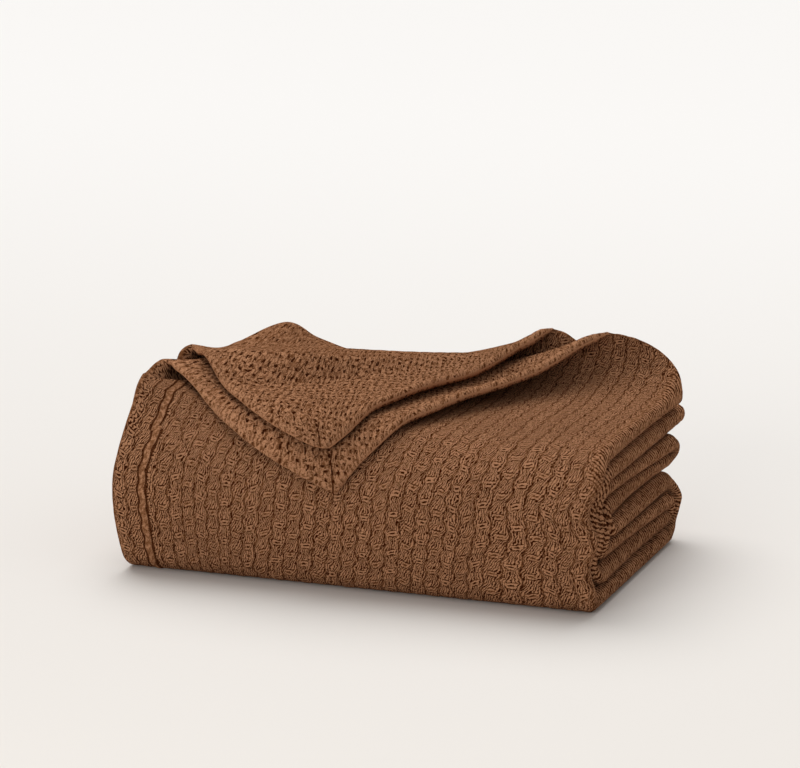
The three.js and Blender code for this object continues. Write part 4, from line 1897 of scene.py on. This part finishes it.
@dataclass(frozen=True)
class RightFoldStitch:
    """Stitches at the right end, where the yarns go round the fold, with painted shade in the gaps between
    them.

    Attributes:
        strokes: yarns that go round in each block.
        slant: how many of them each rib leans by.
        stray: how far they stray.
        gap_wave: wave values between which the painted shade in the gap between two yarns opens.
        gap_patch: depth of the painted shade in the gaps, in closed and in open patches.
        begin: ribs past the start of the fold between which the pattern comes in.
        end: ribs past the start of the fold between which it goes out.
        front_begin: blocks past the foot of the front within which the face's own stitches come in.
        front_end: blocks before the top of the front within which they go out.
        front_share: how far the face's own stitches take its place there.
    """

    strokes: float = 4.0
    slant: float = 1.4
    stray: float = 1.2
    gap_wave: Pair = (-0.4, 0.8)
    gap_patch: Pair = (0.6, 0.9)
    begin: Pair = (-0.6, 0.3)
    end: Pair = (6.0, 7.0)
    front_begin: float = 1.0
    front_end: float = 3.0
    front_share: float = 0.85

    def over(self, at: StitchPlace, dark: Value) -> Value:
        """Puts these stitches over the others where the fold is.

        Args:
            at: values at the place.
            dark: how dark the other stitches are.

        Returns:
            How dark the cloth is.
        """
        turns = at.blocks * self.strokes + (at.fine * self.stray + at.ribs * self.slant)
        # Painted shade in the gaps between the yarns that go round the fold.
        gap = turns.wave().rising(*self.gap_wave) * at.patched(*self.gap_patch)
        past = at.ribs - SIZES.flat_right / WEAVE.rib
        on_fold = past.rising(*self.begin) * past.falling(*self.end)
        foot, top = (length / WEAVE.block for length in FoldRoute.of_blanket(SIZES).front_reach())
        above_foot = at.blocks.rising(foot, foot + self.front_begin)
        on_front = above_foot * at.blocks.falling(top - self.front_end, top)
        return (on_fold * (1.0 - on_front * self.front_share)).blend(dark, gap)


@dataclass(frozen=True)
class RidgeStitch:
    """The sewn ridge along the left hem, with a line of painted shade on each side. Sizes are shares of its
    half width.

    Attributes:
        top: where its own yarn ends.
        patch: how dark its yarn is in closed and in open patches.
        line_at: where the line of painted shade lies.
        line_half: where that line ends, to either side.
        line_dark: how dark that painted shade is.
    """

    top: Pair = (0.75, 1.0)
    patch: Pair = (0.0, 0.3)
    line_at: float = 1.15
    line_half: Pair = (0.15, 0.4)
    line_dark: float = 0.7

    def over(self, at: StitchPlace, dark: Value) -> Value:
        """Puts the ridge over the other stitches.

        Args:
            at: values at the place.
            dark: how dark the other stitches are.

        Returns:
            How dark the cloth is.
        """
        away = abs(at.ribs - WEAVE.hem_width / WEAVE.rib) * (WEAVE.rib / WEAVE.ridge_half)
        # Painted shade in the troughs beside the ridge.
        line = abs(away - self.line_at).falling(*self.line_half)
        return away.falling(*self.top).blend(dark, at.patched(*self.patch)).or_more(line * self.line_dark)


@dataclass(frozen=True)
class CornerStitch:
    """Stitches of the turned corners, where the reverse shows: a fine basket of dots of painted shade and
    crossing yarns with painted highlight.

    Attributes:
        finer: how much finer than the ribs and blocks they are.
        slow_stray, fine_stray: how far whole stitches stray, and yarns across and along the ribs.
        dot_wave: wave values between which a dot ends.
        dot_patch: depth of the dots in closed and in open patches.
        dot_painted_shade, ground: how dark the painted shade in the dots is, and the ground between them.
        yarn_scale: noise scales along and across the crossing yarns.
        yarn_level, yarn_painted_highlight: noise value of plain yarn, and how much painted highlight the
            yarns above it get.
        hem_band, hem_clear: distances from a hem where its smoother rim ends, and how far dots fade in it.
        seam_half, seam_dark: distances from the mitre seam where it ends, and how dark it is.
        seam_end: distance past the hem within which it runs out.
        brow, brow_slope: plan place where the upper corner's crease starts to run back, and its slope.
        brow_soft, brow_calm: distance behind it over which fine level lines come in, and how far they do.
        line_scale, line_edge: noise scales of those lines in x, y and z, and values where they darken.
        line_dark: how dark the ground between the lines is, and how much is added on them.
        begin: ribs before the first one of a turned corner between which this pattern comes in.
    """

    finer: float = 1.6
    slow_stray: float = 0.7
    fine_stray: Pair = (0.5, 0.6)
    dot_wave: Pair = (-0.9, -0.35)
    dot_patch: Pair = (0.5, 1.0)
    dot_painted_shade: float = 0.93
    ground: float = 0.12
    yarn_scale: Pair = (1.3, 4.2)
    yarn_level: float = 0.56
    yarn_painted_highlight: float = 2.9
    hem_band: Pair = (5.0, 7.5)
    hem_clear: float = 0.6
    seam_half: Pair = (0.4, 1.7)
    seam_end: float = 4.0
    seam_dark: float = 0.75
    brow: Pair = (110.0, 138.0)
    brow_slope: float = 0.84
    brow_soft: float = 14.0
    brow_calm: float = 0.35
    line_scale: tuple[float, float, float] = (220.0, 300.0, 900.0)
    line_edge: Pair = (0.4, 0.68)
    line_dark: Pair = (0.08, 0.34)
    begin: Pair = (-20.0, -10.0)

    def basket(self, at: StitchPlace) -> Value:
        """How dark the dots of painted shade are, less the painted highlight on the crossing yarns.

        Args:
            at: values at the place.

        Returns:
            0 on plain yarn, 1 deep between the stitches.
        """
        small = at.slow * self.slow_stray + at.ribs * self.finer + at.fine * self.fine_stray[0]
        drop = at.fine * self.fine_stray[1] + at.blocks * self.finer
        # Painted shade in the dots, where shade falls between the stitches.
        dots = (small.wave() * drop.wave()).falling(*self.dot_wave) * at.patched(*self.dot_patch)
        ground = dots * self.dot_painted_shade + self.ground
        ground = ground * (1.0 - at.hem.falling(*self.hem_band) * self.hem_clear)
        one_way, other_way = small + drop, small - drop
        lengthwise, sideways = self.yarn_scale
        yarn = (one_way * lengthwise).noise_with(other_way * sideways)
        crossing = (one_way * sideways).noise_with(other_way * lengthwise)
        # Painted highlight on the crossing yarns.
        return ground - (yarn.or_more(crossing) - self.yarn_level) * self.yarn_painted_highlight

    def mitre(self, at: StitchPlace) -> Value:
        """How dark the mitre seam of the hem is.

        Args:
            at: values at the place.

        Returns:
            0 beside the seam, more on it.
        """
        from_left = (at.ribs - WEAVE.turned_from) * WEAVE.rib
        line = abs(from_left - at.blocks * WEAVE.block).falling(*self.seam_half)
        return line * from_left.falling(WEAVE.hem_width, WEAVE.hem_width + self.seam_end) * self.seam_dark

    def calmed(self, at: StitchPlace, dark: Value) -> Value:
        """Makes the stitches behind the crease of the upper corner calmer.

        Args:
            at: values at the place.
            dark: how dark the stitches are.

        Returns:
            How dark the cloth is.
        """
        x, y, _ = at.point.split()
        right, back = ((value - start) * MM for value, start in zip(self.brow, SIZES.origin))
        behind = y - (x - right).or_more(0.0) * self.brow_slope
        calm = behind.rising(back, back + self.brow_soft * MM) * self.brow_calm
        sketch = at.point.sketch
        place = sketch.value("ShaderNodeVectorMath", {0: at.point, 1: self.line_scale}, operation="MULTIPLY")
        lines = sketch.noise(place, 1.0, 2.0).rising(*self.line_edge)
        return calm.blend(dark, lines * self.line_dark[1] + self.line_dark[0])

    def over(self, at: StitchPlace, dark: Value) -> Value:
        """Puts these stitches on the turned corners.

        Args:
            at: values at the place.
            dark: how dark the other stitches are.

        Returns:
            How dark the cloth is.
        """
        corner = self.calmed(at, self.basket(at).or_more(self.mitre(at)))
        return (at.ribs - WEAVE.turned_from).rising(*self.begin).blend(dark, corner)


@dataclass(frozen=True)
class CrochetYarn:
    """Brown cotton yarn in a crochet weave, with painted shade between its stitches and painted highlight on
    their crowns.

    Attributes:
        shade, body, light: painted shade between the stitches, the yarn's own colour, and painted highlight
            on its crowns.
        plain_tone, dark_tone, fuzz_tone: tone of plain yarn, and how far places of painted shade and fibres
            change it.
        body_tone, light_tone: tones between which each colour turns into the next.
        cloud: size and detail of the soft clouds in the colour.
        cloud_light: how light the darkest cloud is, and how much is added in the lightest.
        rim_soft: distance to either side of the cloth's half thickness within which a rim's own yarn ends.
        rim_patch: how dark a rim is in closed and in open patches.
        bump: height of the yarn, in metres.
        uneven, face, right_fold, ridge, corner: the patterns that it is made of.
    """

    # Painted shade and painted highlight: shade and light stand in for the shade between the stitches and the
    # light on their crowns.
    shade: Colour = (0.043, 0.007, 0.0006, 1.0)
    body: Colour = (0.2, 0.079, 0.032, 1.0)
    light: Colour = (0.56, 0.278, 0.147, 1.0)
    plain_tone: float = 0.905
    dark_tone: float = 1.06
    fuzz_tone: float = 1.1
    body_tone: Pair = (0.0, 0.52)
    light_tone: Pair = (0.5, 1.05)
    cloud: Pair = (14.0, 2.0)
    cloud_light: Pair = (0.88, 0.24)
    rim_soft: float = 1.0
    rim_patch: Pair = (0.15, 0.5)
    roughness: float = 0.95
    sheen: float = 0.07
    sheen_colour: Colour = (0.55, 0.27, 0.14, 1.0)
    sheen_roughness: float = 0.5
    gloss: float = 0.0
    bump: float = 0.0018
    uneven: Unevenness = Unevenness()
    face: FaceStitch = FaceStitch()
    right_fold: RightFoldStitch = RightFoldStitch()
    ridge: RidgeStitch = RidgeStitch()
    corner: CornerStitch = CornerStitch()

    def stitch_group(self) -> bpy.types.ShaderNodeTree:
        """The stitches as a node group.

        Returns:
            The group, which takes the place in the weave and puts out how light and high the yarn is there.
        """
        group = bpy.data.node_groups.new("crochet_stitch", "ShaderNodeTree")
        inputs = {"Weave": "NodeSocketVector", "Hem": "NodeSocketFloat", "Place": "NodeSocketVector"}
        for name, kind in inputs.items():
            group.interface.new_socket(name, in_out="INPUT", socket_type=kind)
        group.interface.new_socket("Tone", in_out="OUTPUT", socket_type="NodeSocketFloat")
        sketch = Sketch(group)
        source = group.nodes.new("NodeGroupInput")
        at = self.uneven.at(sketch, {name: Value(sketch, source.outputs[name]) for name in inputs})

        dark = self.right_fold.over(at, self.face.dark(at))
        dark = self.ridge.over(at, dark)
        at_rim = at.hem.falling(SIZES.half - self.rim_soft, SIZES.half + self.rim_soft)
        dark = at_rim.blend(dark, at.patched(*self.rim_patch))
        dark = self.corner.over(at, dark)
        tone = at.fuzz * self.fuzz_tone + (self.plain_tone - dark * self.dark_tone)
        sketch.put(tone, group.nodes.new("NodeGroupOutput").inputs["Tone"])
        return group

    def material(self) -> bpy.types.Material:
        """Makes the material.

        Returns:
            The finished material, which reads the cloth's weave map and its hem attribute.
        """
        made = bpy.data.materials.new("crochet_yarn")
        made.use_nodes = True
        sketch = Sketch(made.node_tree)
        place = sketch.value("ShaderNodeTexCoord", {}, "Object")
        inputs = {
            "Weave": sketch.value("ShaderNodeUVMap", {}, uv_map="weave"),
            "Hem": sketch.value("ShaderNodeAttribute", {}, "Fac", attribute_name="hem"),
            "Place": place,
        }
        tone = sketch.value("ShaderNodeGroup", inputs, "Tone", node_tree=self.stitch_group())
        # The tone goes from painted shade through the yarn's own colour to painted highlight.
        colour = sketch.mix(tone.rising(*self.body_tone), self.shade, self.body)
        colour = sketch.mix(tone.rising(*self.light_tone), colour, self.light)
        cloud = sketch.noise(place, *self.cloud) * self.cloud_light[1] + self.cloud_light[0]
        relief = {"Strength": 1.0, "Distance": self.bump, "Height": tone}
        clouded = {0: colour, "Scale": cloud}
        surface = {
            "Base Color": sketch.value("ShaderNodeVectorMath", clouded, operation="SCALE"),
            "Normal": sketch.value("ShaderNodeBump", relief),
            "Roughness": self.roughness,
            "Sheen Weight": self.sheen,
            "Sheen Tint": self.sheen_colour,
            "Sheen Roughness": self.sheen_roughness,
            "Specular IOR Level": self.gloss,
        }
        shader = made.node_tree.nodes["Principled BSDF"]
        for name, value in surface.items():
            sketch.put(value, shader.inputs[name])
        return made


@dataclass(frozen=True)
class Studio:
    """Pale floor with painted shade towards the front, soft lights and the camera. Lengths are in metres, the
    lens in millimetres.

    Attributes:
        azimuth, elevation: direction of the camera round the part and above the horizon, in degrees.
        distance: its distance from the target.
        target: the point that it looks at.
        near_end, far_end: places between which the floor's near colour, darkened as painted shade, turns into
            its paler far one.
        sun_from: direction that the broad light comes from.
        fill_from: place of the weak front light.
    """

    azimuth: float = 19.82
    elevation: float = 14.11
    distance: float = 4.5
    target: tuple[float, float, float] = (0.00385, -0.01619, 0.185)
    lens: float = 195.5
    sensor: float = 36.0
    clip_end: float = 100.0
    floor_size: float = 24.0
    shaded_near_colour: Colour = (0.765, 0.73, 0.69, 1.0)
    lit_far_colour: Colour = (0.915, 0.9, 0.882, 1.0)
    near_end: float = -1.0
    far_end: float = 2.5
    floor_roughness: float = 0.9
    floor_gloss: float = 0.1
    sky_colour: Colour = (1.0, 0.99, 0.975, 1.0)
    sky_strength: float = 0.39
    sun_from: tuple[float, float, float] = (-0.32, 0.5, 1.0)
    sun_strength: float = 2.35
    sun_spread: float = math.radians(60.0)
    fill_from: tuple[float, float, float] = (-0.5, -3.4, 1.1)
    fill_size: float = 2.0
    fill_power: float = 34.0

    @staticmethod
    def aim(made: bpy.types.Object, way: Vector) -> None:
        """Turns a light or the camera to face along a direction."""
        made.rotation_euler = way.to_track_quat("-Z", "Y").to_euler()

    def camera(self) -> None:
        """Puts the camera at the photograph's angle and makes it the scene's."""
        data = bpy.data.cameras.new("camera")
        data.lens = self.lens
        data.sensor_width = self.sensor
        data.clip_end = self.clip_end
        made = add_object("camera", data)
        round_part, up = math.radians(self.azimuth), math.radians(self.elevation)
        level = math.cos(up)
        back = Vector((math.sin(round_part) * level, -math.cos(round_part) * level, math.sin(up)))
        made.location = Vector(self.target) + back * self.distance
        self.aim(made, -back)
        bpy.context.scene.camera = made

    def shaded_floor_material(self) -> bpy.types.Material:
        """Makes the floor's material, with painted shade towards the front.

        Returns:
            The material, darker towards the front as painted shade and paler towards the back as painted
            light.
        """
        made = bpy.data.materials.new("pale_floor")
        made.use_nodes = True
        sketch = Sketch(made.node_tree)
        _, back, _ = sketch.value("ShaderNodeTexCoord", {}, "Object").split()
        share = back.rising(self.near_end, self.far_end)
        shader = made.node_tree.nodes["Principled BSDF"]
        # Painted shade and light: the floor's colour darkens towards the front and pales towards the back.
        sketch.put(sketch.mix(share, self.shaded_near_colour, self.lit_far_colour), shader.inputs["Base Color"])
        sketch.put(self.floor_roughness, shader.inputs["Roughness"])
        sketch.put(self.floor_gloss, shader.inputs["Specular IOR Level"])
        return made

    def floor(self) -> None:
        """Lays the pale floor, which isn't part of the object."""
        half = self.floor_size / 2
        mesh = bpy.data.meshes.new("floor")
        corners = [(-half, -half, 0.0), (half, -half, 0.0), (half, half, 0.0), (-half, half, 0.0)]
        mesh.from_pydata(corners, [], [(0, 1, 2, 3)])
        mesh.materials.append(self.shaded_floor_material())
        add_object("floor", mesh)

    def sun(self) -> None:
        """Hangs one broad soft light high over the back left of the blanket."""
        data = bpy.data.lights.new("soft_light", "SUN")
        data.energy = self.sun_strength
        data.angle = self.sun_spread
        self.aim(add_object("soft_light", data), -Vector(self.sun_from))

    def fill(self) -> None:
        """Stands a large weak light in front of the blanket."""
        data = bpy.data.lights.new("front_light", "AREA")
        data.energy = self.fill_power
        data.size = self.fill_size
        made = add_object("front_light", data)
        made.location = self.fill_from
        self.aim(made, Vector(self.target) - Vector(self.fill_from))

    def sky(self) -> None:
        """Adds the even light from all round."""
        world = bpy.data.worlds.new("studio")
        world.use_nodes = True
        light = world.node_tree.nodes["Background"]
        light.inputs["Color"].default_value = self.sky_colour
        light.inputs["Strength"].default_value = self.sky_strength
        bpy.context.scene.world = world

    def build(self) -> None:
        """Makes the floor, the lights and the camera."""
        self.floor()
        self.sun()
        self.fill()
        self.sky()
        bpy.context.scene.view_settings.view_transform = "Standard"
        self.camera()


def main() -> None:
    """Builds the studio and the blanket, and reports each piece."""
    logging.basicConfig(level=logging.INFO, format="%(name)s: %(message)s")
    Studio().build()
    cloth = BlanketCloth().build()
    cloth.data.materials.append(CrochetYarn().material())
    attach(cloth, "root")
    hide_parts("blanket")
    LOG.info("%s: %d triangles", cloth.name, len(cloth.data.polygons))


if __name__ == "__main__":
    main()
